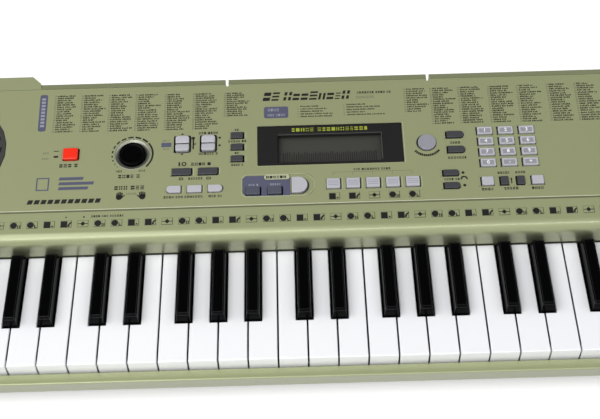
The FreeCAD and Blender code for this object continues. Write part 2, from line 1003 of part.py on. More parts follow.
def button_groups():
    x, y = panel_point(play_shares)
    start_x, start_y = panel_point(start_shares)
    start = start_radius * 2
    return {
        "lesson_buttons": column_of(lesson_shares, 3, lesson_width, lesson_depth, lesson_gap),
        "demo_buttons": row_of(demo_shares, [demo_width] * 2, demo_depth, demo_gap),
        "effect_buttons": row_of(effect_shares, [effect_width] * 3, effect_depth, effect_gap),
        "record_buttons": row_of(record_shares, [record_width] * 2, record_depth, record_gap),
        "play_button": [(x, y, play_width, play_depth)],
        "drum_buttons": row_of(drum_shares, [drum_width] * 5, drum_depth, drum_gap),
        "start_button": [(start_x, start_y, start, start)],
        "select_buttons": column_of(tone_shares, 2, tone_width, tone_depth, tone_gap)
        + column_of(tempo_shares, 2, tempo_width, tempo_depth, tempo_gap),
        "keypad_buttons": grid_of(digit_shares, 3, 4, digit_width, digit_depth,
                                  digit_side_gap, digit_row_gap),
        "chord_buttons": row_of(chord_shares, [chord_end_width, chord_width, chord_width,
                                               chord_end_width], chord_depth, chord_gap),
    }


def button_wire(name, number, button, grow, z):
    # round for the start button, and half round at one end where the row's outer end is
    x, y, width, depth = button
    width += grow * 2
    depth += grow * 2
    if name == "start_button":
        return many_sided(width / 2, knob_sides, Vector(x, y, z))
    corners = [
        Vector(x - width / 2, y - depth / 2, z),
        Vector(x + width / 2, y - depth / 2, z),
        Vector(x + width / 2, y + depth / 2, z),
        Vector(x - width / 2, y + depth / 2, z),
    ]
    full = depth / 2 - button_edge
    rounded = {
        ("play_button", 0): [0, full, full, 0],
        ("effect_buttons", 0): [full, 0, 0, full],
        ("effect_buttons", 2): [0, full, full, 0],
        ("select_buttons", 0): [0, full, full, 0],
        ("select_buttons", 1): [0, full, full, 0],
        ("select_buttons", 2): [0, tempo_corner_radius, tempo_corner_radius, 0],
        ("select_buttons", 3): [0, tempo_corner_radius, tempo_corner_radius, 0],
    }
    sizes = rounded.get((name, number), [0] * len(corners))
    steps = corner_steps if full in sizes else 1
    return softened_wire(corners, sizes, steps)


def button(name, number, place):
    x, y, width, depth = place
    cap = stack([
        button_wire(name, number, place, 0, flange_top),
        button_wire(name, number, place, 0, button_rise - button_edge),
        button_wire(name, number, place, -button_edge, button_rise),
    ])
    flange = box(
        x - width / 2 - button_flange, x + width / 2 + button_flange,
        y - depth / 2 - button_flange, y + depth / 2 + button_flange, flange_low, flange_top)
    return on_deck(joined([cap, flange]))


def button_node(name, places):
    return Part.makeCompound([button(name, number, place) for number, place in enumerate(places)])


def power_place():
    x, y = panel_point(power_shares)
    return x, y, power_width, power_depth


def power_button():
    x, y, width, depth = power_place()
    cap = stack([
        rectangle(x, y, width, depth, flange_low, power_corner_radius),
        rectangle(x, y, width, depth, power_rise - button_edge, power_corner_radius),
        rectangle(x, y, width - button_edge * 2, depth - button_edge * 2, power_rise,
                  power_corner_radius - button_edge),
    ])
    stem = box(
        x - power_stem / 2, x + power_stem / 2,
        y - power_stem / 2, y + power_stem / 2, button_mat_top, flange_low)
    return on_deck(joined([cap, stem]))


def rocker(shares):
    # a two-way button whose top is a shallow valley, tipped about its own middle
    x, y = panel_point(shares)
    half = rocker_depth / 2
    points = [
        Vector(x - rocker_width / 2, y - half, -rocker_body),
        Vector(x - rocker_width / 2, y + half, -rocker_body),
        Vector(x - rocker_width / 2, y + half, rocker_rise),
        Vector(x - rocker_width / 2, y, rocker_rise - rocker_valley),
        Vector(x - rocker_width / 2, y - half, rocker_rise),
    ]
    cap = prism(softened_wire(points, [0, 0, button_edge, 0, button_edge]),
                Vector(rocker_width, 0, 0))
    web = box(
        x - rocker_width / 2, x + rocker_width / 2,
        y - rocker_web / 2, y + rocker_web / 2, -rocker_body - rocker_web_drop, -rocker_body)
    return on_deck(joined([cap, web]))


def volume_knob():
    x, y = panel_point(knob_shares)
    low = -dish_depth - knob_skirt
    cap = stack([
        many_sided(knob_radius, knob_sides, Vector(x, y, low)),
        many_sided(knob_radius, knob_sides, Vector(x, y, knob_rise - knob_edge)),
        many_sided(knob_radius - knob_edge, knob_sides, Vector(x, y, knob_rise)),
    ])
    dimple_floor = knob_dimple_radius - knob_dimple_depth * 2
    dimple = stack([
        many_sided(dimple_floor, knob_sides, Vector(x, y, knob_rise - knob_dimple_depth)),
        many_sided(knob_dimple_radius, knob_sides, Vector(x, y, knob_rise)),
    ])
    shaft = bar(knob_shaft_radius, rod_sides, Vector(x, y, low),
                Vector(0, 0, board_top + button_rest_gap - low))
    return on_deck(joined([cap, shaft]).cut(dimple))


def knob_dish():
    # the sloping ring round the knob, cut into the panel
    x, y = panel_point(knob_shares)
    floor_radius = knob_radius + knob_clearance
    low = -panel_thickness - overrun
    return stack([
        many_sided(floor_radius, knob_sides, Vector(x, y, low)),
        many_sided(floor_radius, knob_sides, Vector(x, y, -dish_depth)),
        many_sided(dish_radius, knob_sides, Vector(x, y, 0)),
    ])


def speaker_places():
    across, up = panel_point(speaker_shares)
    return [(-across, up), (across, up)]


def post_places():
    places = []
    for across in post_across_shares:
        for up in post_up_shares:
            places.append(panel_point((across, up)))
    return places


def control_panel():
    plate = panel_prism(-panel_seam, -panel_thickness, 0, corner_steps)
    posts = [post(panel_post_radius, x, y, board_top, -panel_thickness / 2)
             for x, y in post_places()]
    x, y = panel_point(inset_shares)
    inset = prism(rectangle(x, y, inset_width, inset_depth, -inset_sink, inset_corner_radius),
                  Vector(0, 0, inset_sink + overrun))
    cuts = [inset, knob_dish()]
    through = Vector(0, 0, panel_thickness + overrun * 2)
    low = -panel_thickness - overrun
    for name, places in button_groups().items():
        for number, place in enumerate(places):
            cuts.append(prism(button_wire(name, number, place, button_clearance, low), through))
    x, y, width, depth = power_place()
    cuts.append(prism(
        rectangle(x, y, width + button_clearance * 2, depth + button_clearance * 2, low,
                  power_corner_radius), through))
    for shares in (left_rocker_shares, right_rocker_shares):
        x, y = panel_point(shares)
        cuts.append(prism(
            rectangle(x, y, rocker_width + rocker_clearance * 2,
                      rocker_depth + rocker_clearance * 2, low), through))
    x, y = panel_point(display_shares)
    cuts.append(prism(
        rectangle(x, y, display_width + display_clearance * 2,
                  display_depth + display_clearance * 2, low), through))
    for x, y in speaker_places():
        cuts.append(bar(grille_radius + grille_clearance, grille_sides, Vector(x, y, low), through))
    panel = on_deck(plate.cut(cuts).fuse(posts).removeSplitter())
    return panel.cut(music_rest_slots())


def display_bezel():
    x, y = panel_point(display_shares)
    frame = stack([
        rectangle(x, y, display_width, display_depth, -panel_thickness, button_edge),
        rectangle(x, y, display_width, display_depth, display_rise, button_edge),
    ])
    lower = y - window_drop
    window = stack([
        rectangle(x, lower, window_width, window_depth, -panel_thickness - overrun),
        rectangle(x, lower, window_width, window_depth, -panel_thickness + window_slope),
        rectangle(x, lower, window_width + window_slope * 2, window_depth + window_slope * 2,
                  display_rise + smallest_edge),
    ])
    return on_deck(frame.cut(window))


def lcd_module():
    x, y = panel_point(display_shares)
    lower = y - window_drop
    width = window_width + lcd_margin * 2
    depth = window_depth + lcd_margin * 2
    can = prism(rectangle(x, lower, width, depth, board_top),
                Vector(0, 0, board_drop - panel_thickness))
    glass = prism(rectangle(x, lower, width - lcd_frame * 2, depth - lcd_frame * 2,
                            -panel_thickness - lcd_glass_drop),
                  Vector(0, 0, lcd_glass_drop + overrun))
    return on_deck(can.cut(glass))


def button_mat(places):
    # the rubber contact mat under one group of buttons
    left = min(x - width / 2 for x, y, width, depth in places)
    right = max(x + width / 2 for x, y, width, depth in places)
    front = min(y - depth / 2 for x, y, width, depth in places)
    back = max(y + depth / 2 for x, y, width, depth in places)
    return box(left - button_mat_margin, right + button_mat_margin,
               front - button_mat_margin, back + button_mat_margin, board_top, button_mat_top)


def main_board():
    left = board_left_share * panel_half
    right = board_right_share * panel_half
    front = strip_depth + board_front_share * panel_depth
    back = strip_depth + board_back_share * panel_depth
    board = box(left, right, front, back, board_top - board_thickness, board_top)
    mats = [button_mat(places) for places in button_groups().values()]
    for shares in (left_rocker_shares, right_rocker_shares):
        x, y = panel_point(shares)
        for side in (-1, 1):
            middle = y + side * (rocker_depth - rocker_pad) / 2
            mats.append(box(x - rocker_width / 2, x + rocker_width / 2,
                            middle - rocker_pad / 2, middle + rocker_pad / 2,
                            board_top, -rocker_body - rocker_pad_gap))
    x, y = panel_point(power_shares)
    mats.append(box(x - power_width / 2, x + power_width / 2,
                    y - power_depth / 2, y + power_depth / 2,
                    board_top, button_mat_top - power_travel - button_rest_gap))
    x, y = panel_point(knob_shares)
    pot_top = -dish_depth - knob_skirt - button_rest_gap
    pot = box(x - pot_width / 2, x + pot_width / 2, y - pot_width / 2, y + pot_width / 2,
              board_top, pot_top)
    bore_radius = (knob_shaft_radius + knob_shaft_clearance) / math.cos(math.pi / rod_sides)
    pot_bore = bar(bore_radius, rod_sides, Vector(x, y, board_top), Vector(0, 0, board_drop))
    return on_deck(Part.makeCompound([board, pot.cut(pot_bore)] + mats))


# Speakers

def speaker_grille(x, y):
    inner = grille_radius - grille_rim
    disc = bar(grille_radius, grille_sides, Vector(x, y, -panel_thickness),
               Vector(0, 0, panel_thickness + grille_rise))
    pitch = slat_width + slat_gap
    count = int((inner - slat_gap) / pitch)
    slots = []
    for number in range(-count, count + 1):
        place = number * pitch
        reach = math.sqrt(inner * inner - (abs(place) + slat_gap / 2) ** 2)
        for side in (-1, 1):
            near = side * slat_centre_width / 2
            far = side * reach
            slots.append(box(
                x + min(near, far), x + max(near, far),
                y + place - slat_gap / 2, y + place + slat_gap / 2,
                -panel_thickness - overrun, grille_rise + overrun))
    return on_deck(disc.cut(slots))


def speaker_driver(x, y):
    top = -panel_thickness
    flange_radius = grille_radius + driver_flange_width
    basket_low = top - driver_basket_depth
    cone_radius = grille_radius - cone_margin
    magnet = bar(driver_magnet_radius, driver_sides, Vector(x, y, basket_low),
                 Vector(0, 0, -driver_magnet_depth))
    basket = stack([
        many_sided(driver_throat_radius, driver_sides, Vector(x, y, basket_low)),
        many_sided(grille_radius, driver_sides, Vector(x, y, top - driver_flange_thickness)),
    ])
    flange = bar(flange_radius, driver_sides, Vector(x, y, top - driver_flange_thickness),
                 Vector(0, 0, driver_flange_thickness))
    cone = stack([
        many_sided(cone_hub_radius, driver_sides, Vector(x, y, top - cone_depth)),
        many_sided(cone_radius, driver_sides, Vector(x, y, top)),
    ])
    return on_deck(joined([magnet, basket, flange]).cut(cone))


# Sockets at the back

def jack_board_low():
    return jack_height - jack_nose_radius - jack_board_thickness


def jack_board_box():
    middle = jack_board_share * case_half
    back = centre_back_y - case_wall - jack_wall_gap * 2 - lip_gap - lip_thickness
    return (middle - jack_board_width / 2, middle + jack_board_width / 2,
            back - jack_board_depth, back)


def jack_post_places():
    left, right, front, back = jack_board_box()
    inset = jack_post_radius
    return [(left + inset, front + inset), (right - inset, front + inset),
            (left + inset, back - inset), (right - inset, back - inset)]


def socket(x, bore_radius, bore_depth):
    left, right, front, back = jack_board_box()
    body = box(x - jack_body_width / 2, x + jack_body_width / 2,
               back - jack_body_depth, back,
               jack_height - jack_nose_radius, jack_height + jack_nose_radius)
    nose = bar(jack_nose_radius, driver_sides, Vector(x, back, jack_height),
               Vector(0, centre_back_y - back, 0))
    bore = bar(bore_radius, driver_sides, Vector(x, centre_back_y - bore_depth, jack_height),
               Vector(0, bore_depth + overrun, 0))
    return body.fuse(nose).cut(bore)


def jack_board():
    left, right, front, back = jack_board_box()
    low = jack_board_low()
    board = box(left, right, front, back, low, low + jack_board_thickness)
    phones, power, usb = jack_places()
    pin = bar(power_pin_radius, rod_sides, Vector(power, centre_back_y - power_bore_depth, jack_height),
              Vector(0, power_bore_depth, 0))
    shell_front = centre_back_y - usb_depth - usb_shell
    shell = box(usb - usb_width / 2 - usb_shell, usb + usb_width / 2 + usb_shell,
                shell_front, centre_back_y,
                jack_height - jack_nose_radius, jack_height + usb_height / 2 + usb_shell)
    slot = box(usb - usb_width / 2, usb + usb_width / 2,
               centre_back_y - usb_depth, centre_back_y + overrun,
               jack_height - usb_height / 2, jack_height + usb_height / 2)
    undercut = box(usb - usb_width, usb + usb_width, back, centre_back_y + overrun,
                   0, jack_height - usb_height / 2 - usb_shell)
    return joined([board, socket(phones, phones_bore_radius, phones_bore_depth),
                   socket(power, power_bore_radius, power_bore_depth), pin,
                   shell.cut([slot, undercut])])


# All nodes

def key_nodes():
    nodes = {}
    groups = {"left_white_keys": [], "left_black_keys": [],
              "right_white_keys": [], "right_black_keys": []}
    for number in range(white_key_count):
        octave = number // octave_size + 1
        note = number % octave_size
        single = 0 <= number - left_group_count < single_white_count
        side = "left" if number < left_group_count else "right"
        if single:
            nodes["key_" + white_names[note] + "_" + str(octave)] = white_key(number)
        else:
            groups[side + "_white_keys"].append(white_key(number))
        if has_black(number) and single:
            nodes["key_" + black_names[note] + "_" + str(octave)] = black_key(number)
        elif has_black(number):
            groups[side + "_black_keys"].append(black_key(number))
    for name, keys in groups.items():
        nodes[name] = Part.makeCompound(keys)
    return nodes


def all_nodes():
    nodes = {
        "upper_case": upper_case(),
        "lower_case": lower_case(),
        "control_panel": control_panel(),
        "display_bezel": display_bezel(),
        "lcd_module": lcd_module(),
        "main_board": main_board(),
        "jack_board": jack_board(),
        "speaker_grilles": Part.makeCompound([speaker_grille(x, y) for x, y in speaker_places()]),
        "speaker_drivers": Part.makeCompound([speaker_driver(x, y) for x, y in speaker_places()]),
        "key_frame": key_frame(),
        "contact_strip": contact_strip(),
        "rubber_feet": rubber_feet(),
        "case_screws": case_screws(),
        "battery_door": battery_door(),
        "power_button": power_button(),
        "volume_knob": volume_knob(),
        "left_rocker": rocker(left_rocker_shares),
        "right_rocker": rocker(right_rocker_shares),
    }
    for name, places in button_groups().items():
        nodes[name] = button_node(name, places)
    nodes.update(key_nodes())
    return nodes


os.makedirs("parts", exist_ok=True)
for node_name, node_shape in all_nodes().items():
    node_shape.translate(Vector(0, -case_depth / 2, 0))
    node_shape.exportStep("parts/" + node_name + ".step")
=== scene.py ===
import math
import random

import bmesh
import bpy
from mathutils import Matrix, Vector


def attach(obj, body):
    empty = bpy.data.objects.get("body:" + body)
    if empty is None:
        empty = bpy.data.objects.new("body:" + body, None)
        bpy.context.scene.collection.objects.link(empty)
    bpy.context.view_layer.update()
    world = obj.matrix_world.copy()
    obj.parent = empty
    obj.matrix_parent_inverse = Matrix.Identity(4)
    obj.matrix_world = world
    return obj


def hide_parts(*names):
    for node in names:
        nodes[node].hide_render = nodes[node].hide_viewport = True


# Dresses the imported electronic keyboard: paint, print, buttons, keys, display and speakers.
# Metres everywhere. Pieces on the sloping panel are laid out flat in millimetres, as places
# across and up from the row of key symbols, and are then tipped onto the deck.

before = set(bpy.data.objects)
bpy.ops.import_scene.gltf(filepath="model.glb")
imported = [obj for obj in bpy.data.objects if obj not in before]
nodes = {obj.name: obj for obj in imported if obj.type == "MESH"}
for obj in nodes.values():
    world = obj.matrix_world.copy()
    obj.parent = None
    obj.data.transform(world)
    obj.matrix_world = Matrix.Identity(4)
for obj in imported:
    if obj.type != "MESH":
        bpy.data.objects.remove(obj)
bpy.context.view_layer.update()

mm = 0.001

deck = {
    "tilt": 7.2,           # degrees
    "frontY": -23.896,     # the rounded edge behind the keys, in millimetres
    "frontZ": 61.0,
    "symbolRow": 14.1,     # the row of key symbols lies this far up from that edge
    "printLift": 0.05,
}
deckTurn = (Matrix.Translation((0, deck["frontY"] * mm, deck["frontZ"] * mm))
            @ Matrix.Rotation(math.radians(deck["tilt"]), 4, "X"))


def onDeck(across, up, lift):
    return deckTurn @ Vector((across * mm, (up + deck["symbolRow"]) * mm, lift * mm))


def deckPlace(point):
    local = deckTurn.inverted() @ point / mm
    return local.x, local.y - deck["symbolRow"], local.z


def addObject(name, data):
    holder = bpy.data.objects.new(name, data)
    bpy.context.scene.collection.objects.link(holder)
    return holder


# Camera

camera = {
    "focalPixels": 1206.4,
    "imageWidth": 600,
    "sensor": 36.0,
    "place": (-0.0241, -0.5355, 0.7663),
    "pitch": 52.86,        # degrees below the horizon
    "roll": 1.64,
}


def makeCamera():
    data = bpy.data.cameras.new("photoCamera")
    data.sensor_width = camera["sensor"]
    data.lens = camera["focalPixels"] * camera["sensor"] / camera["imageWidth"]
    data.clip_start = 0.01
    data.clip_end = 60
    holder = addObject("photoCamera", data)
    pitch = math.radians(camera["pitch"])
    roll = math.radians(camera["roll"])
    forward = Vector((0, math.cos(pitch), -math.sin(pitch)))
    level = Vector((1, 0, 0))
    upright = Vector((0, math.sin(pitch), math.cos(pitch)))
    right = math.cos(roll) * level - math.sin(roll) * upright
    up = math.sin(roll) * level + math.cos(roll) * upright
    turn = Matrix((right, up, -forward)).transposed().to_4x4()
    holder.matrix_world = Matrix.Translation(camera["place"]) @ turn
    bpy.context.scene.camera = holder


makeCamera()
print("camera placed")


# Finishes

def srgb(red, green, blue):
    def linear(value):
        value /= 255
        return value / 12.92 if value <= 0.04045 else ((value + 0.055) / 1.055) ** 2.4
    return (linear(red), linear(green), linear(blue), 1.0)


def fillNode(tree, node, settings=None, links=None):
    # keys are names of the node's own values, or names or numbers of its sockets
    for key, value in (settings or {}).items():
        if isinstance(key, str) and hasattr(node, key):
            setattr(node, key, value)
        else:
            node.inputs[key].default_value = value
    for key, source in (links or {}).items():
        tree.links.new(source, node.inputs[key])
    return node


def addNode(tree, kind, settings=None, links=None):
    return fillNode(tree, tree.nodes.new("ShaderNode" + kind), settings, links)


def addNoise(tree, place, scale, detail, distortion=0.0):
    noise = addNode(tree, "TexNoise", {"Detail": detail, "Distortion": distortion},
                    {"Vector": place.outputs["Object"], "Scale": scale})
    return noise.outputs["Fac"]


def startGroup(name, inputs, outputs):
    # an input's value says whether it is a number or a colour
    group = bpy.data.node_groups.new(name, "ShaderNodeTree")
    for label, value in inputs.items():
        kind = "NodeSocketFloat" if isinstance(value, float) else "NodeSocketColor"
        group.interface.new_socket(name=label, in_out="INPUT", socket_type=kind).default_value = value
    for label, kind in outputs.items():
        group.interface.new_socket(name=label, in_out="OUTPUT", socket_type=kind)
    return group, group.nodes.new("NodeGroupInput"), group.nodes.new("NodeGroupOutput")


def makeGrainGroup():
    # moulded or sprayed grain: a fine height for the bump and a clouded roughness
    group, start, end = startGroup(
        "mouldedGrain", {"Grain Scale": 900.0, "Cloud Scale": 14.0, "Roughness": 0.4, "Unevenness": 0.08},
        {"Height": "NodeSocketFloat", "Roughness": "NodeSocketFloat"})
    place = addNode(group, "TexCoord")
    fine = addNoise(group, place, start.outputs["Grain Scale"], 3.0)
    cloud = addNoise(group, place, start.outputs["Cloud Scale"], 4.0, 0.4)
    centred = addNode(group, "Math", {"operation": "SUBTRACT", 1: 0.5}, {0: cloud})
    spread = addNode(group, "Math", {"operation": "MULTIPLY_ADD"},
                     {0: centred.outputs[0], 1: start.outputs["Unevenness"], 2: start.outputs["Roughness"]})
    fillNode(group, end, links={"Height": fine, "Roughness": spread.outputs[0]})
    return group


def makeTintGroup():
    # two close tints, clouded and flecked
    group, start, end = startGroup(
        "cloudedTint",
        {"Tint A": (0.5, 0.5, 0.5, 1), "Tint B": (0.4, 0.4, 0.4, 1), "Cloud Scale": 9.0,
         "Fleck Scale": 2500.0, "Fleck": 0.2},
        {"Color": "NodeSocketColor"})
    place = addNode(group, "TexCoord")
    cloud = addNoise(group, place, start.outputs["Cloud Scale"], 3.0)
    flecks = addNoise(group, place, start.outputs["Fleck Scale"], 1.0)
    share = addNode(group, "Mix", {"data_type": "FLOAT"},
                    {0: start.outputs["Fleck"], 2: cloud, 3: flecks})
    mixed = addNode(group, "Mix", {"data_type": "RGBA"},
                    {0: share.outputs[0], 6: start.outputs["Tint A"], 7: start.outputs["Tint B"]})
    fillNode(group, end, links={"Color": mixed.outputs[2]})
    return group


grainGroup = makeGrainGroup()
tintGroup = makeTintGroup()
usual = {"grainScale": 900.0, "unevenness": 0.05, "fleck": 0.2, "bumpDistance": 0.00003, "metallic": 0.0,
         "coat": 0.0, "coatRoughness": 0.1, "specular": 0.5}


def finish(tintA, tintB, roughness, bump=0.02, **more):
    return {**usual, "tints": (tintA, tintB), "roughness": roughness, "bump": bump, **more}


lacquer = {"metallic": 0.25, "coat": 0.5, "fleck": 0.6}
finishes = {
    "panelPaint": finish((155, 160, 122), (147, 152, 112), 0.45, 0.06, metallic=0.15, fleck=0.6),
    "caseOlive": finish((166, 172, 132), (158, 164, 122), 0.34, 0.04, **lacquer),
    "darkOlive": finish((98, 101, 78), (88, 92, 70), 0.55, 0.35, grainScale=700.0),
    "keyWhite": finish((249, 249, 251), (245, 246, 250), 0.2, coat=0.15, coatRoughness=0.08, fleck=0.05),
    # painted shade: the wall behind the keys darkens lower down
    "caseWallShaded": finish((166, 172, 132), (158, 164, 122), 0.31, 0.01, **lacquer,
                       fade={"low": 0.05, "high": 0.058, "tone": (152, 155, 128), "metallic": 0.76}),
    # painted shade: a darker copy of the paint for the rail's front face
    "caseFrontShaded": finish((160, 163, 142), (152, 155, 134), 0.4, 0.04, metallic=0.25, fleck=0.6),
    # painted shade: a darker copy of the paint for the band behind the panel, which slopes away from the
    # light
    "caseBackShaded": finish((150, 155, 120), (142, 147, 111), 0.34, 0.04, **lacquer),
    # painted shade: dark strip at the foot of the wall
    "wallFootShade": finish((42, 47, 27), (33, 37, 21), 0.9, 0.3),
    # painted shade: the sides of the white keys in the gaps
    "keySidePaintedShade": finish((112, 112, 116), (104, 104, 108), 0.5),
    "keyBlack": finish((4, 4, 5), (7, 7, 8), 0.24, specular=0.03),
    # painted highlight: bright lines along the black keys' edges
    "keyEdgeHighlight": finish((44, 44, 47), (36, 36, 39), 0.22, specular=0.4),
    "buttonLight": finish((184, 184, 190), (176, 176, 183), 0.36, 0.08),
    "buttonMid": finish((150, 150, 158), (142, 142, 150), 0.36, 0.08),
    "buttonDark": finish((69, 70, 74), (61, 62, 66), 0.34, 0.08),
    "buttonSlate": finish((84, 86, 100), (76, 78, 92), 0.34, 0.08),
    "powerRed": finish((246, 50, 26), (240, 43, 21), 0.3, 0.03, coat=0.1, coatRoughness=0.12),
    "knobBlack": finish((3, 3, 4), (5, 5, 6), 0.28, specular=0.05),
    "dishSilver": finish((158, 160, 146), (146, 148, 134), 0.36, 0.0, metallic=0.7),
    "bezelBlack": finish((29, 28, 28), (24, 23, 23), 0.5, 0.12, specular=0.3),
    # painted highlight: the pale lip of the display window
    "bezelLipHighlight": finish((88, 88, 85), (78, 78, 76), 0.4),
    "displayGlass": finish((70, 70, 66), (62, 62, 58), 0.3, 0.01, specular=0.3),
    "segmentInk": finish((28, 28, 27), (24, 24, 23), 0.4, 0.01),
    "printBlack": finish((9, 9, 8), (14, 14, 12), 0.5),
    "printDark": finish((20, 20, 16), (26, 26, 21), 0.5),
    "printGrey": finish((112, 116, 92), (120, 124, 98), 0.5),
    # painted highlight: the bead along the panel's front edge
    "beadHighlight": finish((212, 215, 188), (204, 208, 180), 0.5),
    # pale rim and pill label, and painted highlights along the openings' and the bezel's right edges
    "paleRimAndHighlight": finish((182, 186, 152), (174, 178, 145), 0.5),
    "printMist": finish((152, 152, 164), (144, 144, 156), 0.5),
    "printBlue": finish((88, 90, 112), (79, 81, 103), 0.45),
    "printYellow": finish((156, 166, 52), (148, 158, 48), 0.5),
    # painted shadow: the band in front of the panel's bead
    "grooveShadow": finish((104, 108, 78), (96, 100, 72), 0.5),
    "printWhite": finish((248, 248, 248), (240, 240, 240), 0.5),
    # painted shade: the dark gaps round the buttons and the rockers' split
    "gapPaintedShade": finish((14, 14, 12), (20, 20, 17), 0.7, 0.05),
    "grilleDark": finish((58, 58, 56), (50, 50, 49), 0.5, 0.2),
    "speakerPaper": finish((30, 30, 31), (24, 24, 25), 0.85, 0.5, grainScale=300.0),
    "boardGreen": finish((32, 96, 58), (26, 84, 50), 0.4, 0.1, coat=0.3),
    "frameGrey": finish((60, 60, 58), (54, 54, 52), 0.6, 0.15),
    "rubber": finish((38, 38, 38), (32, 32, 32), 0.8, 0.3),
    "screwSteel": finish((176, 176, 178), (160, 160, 163), 0.32, 0.1, metallic=1.0),
}


def fadeLow(tree, colour, metallic, fade):
    # lower down the paint takes a darker tone, which is painted shade, and more metal in it, so that it
    # mirrors the keys
    place = addNode(tree, "TexCoord")
    split = addNode(tree, "SeparateXYZ", None, {"Vector": place.outputs["Object"]})
    reach = {"From Min": fade["low"], "From Max": fade["high"]}
    height = {"Value": split.outputs["Z"]}
    share = addNode(tree, "MapRange", reach, height)
    metal = addNode(tree, "MapRange",
                    {**reach, "To Min": fade["metallic"], "To Max": metallic}, height)
    mixed = addNode(tree, "Mix", {"data_type": "RGBA", 6: srgb(*fade["tone"])},
                    {0: share.outputs["Result"], 7: colour})
    return mixed.outputs[2], metal.outputs["Result"]


def makeFinish(name, values):
    material = bpy.data.materials.new(name)
    material.use_nodes = True
    tree = material.node_tree
    grain = addNode(tree, "Group",
                    {"node_tree": grainGroup, "Grain Scale": values["grainScale"],
                     "Roughness": values["roughness"], "Unevenness": values["unevenness"]})
    tint = addNode(tree, "Group",
                   {"node_tree": tintGroup, "Tint A": srgb(*values["tints"][0]),
                    "Tint B": srgb(*values["tints"][1]), "Fleck": values["fleck"]})
    bump = addNode(tree, "Bump", {"Strength": values["bump"], "Distance": values["bumpDistance"]},
                   {"Height": grain.outputs["Height"]})
    links = {"Base Color": tint.outputs["Color"], "Roughness": grain.outputs["Roughness"],
             "Normal": bump.outputs["Normal"]}
    if "fade" in values:
        links["Base Color"], links["Metallic"] = fadeLow(
            tree, links["Base Color"], values["metallic"], values["fade"])
    fillNode(tree, tree.nodes["Principled BSDF"],
             {"Metallic": values["metallic"], "Coat Weight": values["coat"],
              "Coat Roughness": values["coatRoughness"], "Specular IOR Level": values["specular"]}, links)
    return material


looks = {name: makeFinish(name, values) for name, values in finishes.items()}
print("finishes made")


# Floor and light

studio = {
    "floorSize": 60.0,
    "floorColour": (0.94, 0.94, 0.94, 1.0),
    "floorRoughness": 0.95,
    "floorGlow": 0.30,      # what the white paper adds where it is seen
    "skyLight": 0.36,
    "darkSky": 0.06,        # in the part of the sky that level tops mirror
    "darkMiddle": (-0.1, 0.6, 0.79),
    "darkReach": (0.72, 0.92),
    "brightFront": 0.45,    # added in the part of the sky that the rounded edges mirror
    "brightMiddle": (0.1, -0.85, 0.52),
    "brightReach": (0.85, 0.95),
    "lamps": [              # a round one from the left and a long one over the front
        {"place": (-0.95, -0.6, 1.6), "size": (1.9, 1.9), "power": 20.0, "shape": "ELLIPSE"},
        {"place": (0.3, -0.95, 1.55), "size": (3.2, 0.14), "power": 10.0, "shape": "RECTANGLE"},
    ],
    "aim": (0.0, -0.03, 0.05),
    "suns": [               # direction the light comes from, spread in degrees, strength
        ((-1.0, 0.1, 0.85), 45, 0.45),
        ((1.0, 0.2, 0.85), 45, 0.4),
    ],
}


def makeFloor():
    half = studio["floorSize"] / 2
    mesh = bpy.data.meshes.new("floor")
    mesh.from_pydata([(-half, -half, 0), (half, -half, 0), (half, half, 0), (-half, half, 0)],
                     [], [(0, 1, 2, 3)])
    floor = addObject("floor", mesh)
    material = bpy.data.materials.new("floorPaper")
    material.use_nodes = True
    tree = material.node_tree
    # the paper glows for the camera and in mirrors only, so that it lights nothing
    rays = addNode(tree, "LightPath").outputs
    mirrored = addNode(tree, "Math", {"operation": "MAXIMUM"},
                       {0: rays["Is Glossy Ray"], 1: rays["Is Transmission Ray"]})
    seen = addNode(tree, "Math", {"operation": "MAXIMUM"},
                   {0: rays["Is Camera Ray"], 1: mirrored.outputs[0]})
    glow = addNode(tree, "Mix",
                   {"data_type": "RGBA", 6: (0, 0, 0, 1), 7: (studio["floorGlow"],) * 3 + (1,)},
                   {0: seen.outputs[0]})
    fillNode(tree, tree.nodes["Principled BSDF"],
             {"Base Color": studio["floorColour"], "Roughness": studio["floorRoughness"],
              "Specular IOR Level": 0.0, "Emission Strength": 1.0}, {"Emission Color": glow.outputs[2]})
    mesh.materials.append(material)


def addLamp(name, kind, energy, source):
    data = bpy.data.lights.new(name, kind)
    data.energy = energy
    lamp = addObject(name, data)
    lamp.rotation_euler = Vector(source).to_track_quat("Z", "Y").to_euler()
    return lamp


def makeLights():
    for number, values in enumerate(studio["lamps"]):
        away = Vector(values["place"]) - Vector(studio["aim"])
        lamp = addLamp("softLamp" + str(number), "AREA", values["power"], away)
        lamp.location = values["place"]
        lamp.data.shape = values["shape"]
        lamp.data.size, lamp.data.size_y = values["size"]
    for number, (source, spread, strength) in enumerate(studio["suns"]):
        lamp = addLamp("softSun" + str(number), "SUN", strength, source)
        lamp.data.angle = math.radians(spread)


def makeSky():
    # white all round, dark behind the object, so that glossy tops stay dark, and brighter in front
    world = bpy.data.worlds.new("studio")
    bpy.context.scene.world = world
    world.use_nodes = True
    tree = world.node_tree
    place = addNode(tree, "TexCoord")

    def patch(middle, reach, outside, inside):
        facing = addNode(tree, "VectorMath", {"operation": "DOT_PRODUCT", 1: middle},
                         {0: place.outputs["Generated"]})
        strength = addNode(tree, "MapRange",
                           {"From Min": reach[0], "From Max": reach[1], "To Min": outside,
                            "To Max": inside}, {"Value": facing.outputs["Value"]})
        return strength.outputs["Result"]

    dark = patch(studio["darkMiddle"], studio["darkReach"], studio["skyLight"], studio["darkSky"])
    bright = patch(studio["brightMiddle"], studio["brightReach"], 0.0, studio["brightFront"])
    total = addNode(tree, "Math", {"operation": "ADD"}, {0: dark, 1: bright})
    fillNode(tree, tree.nodes["Background"], {"Color": (1, 1, 1, 1)}, {"Strength": total.outputs[0]})


makeFloor()
makeLights()
makeSky()
bpy.context.scene.view_settings.view_transform = "Standard"
print("studio made")


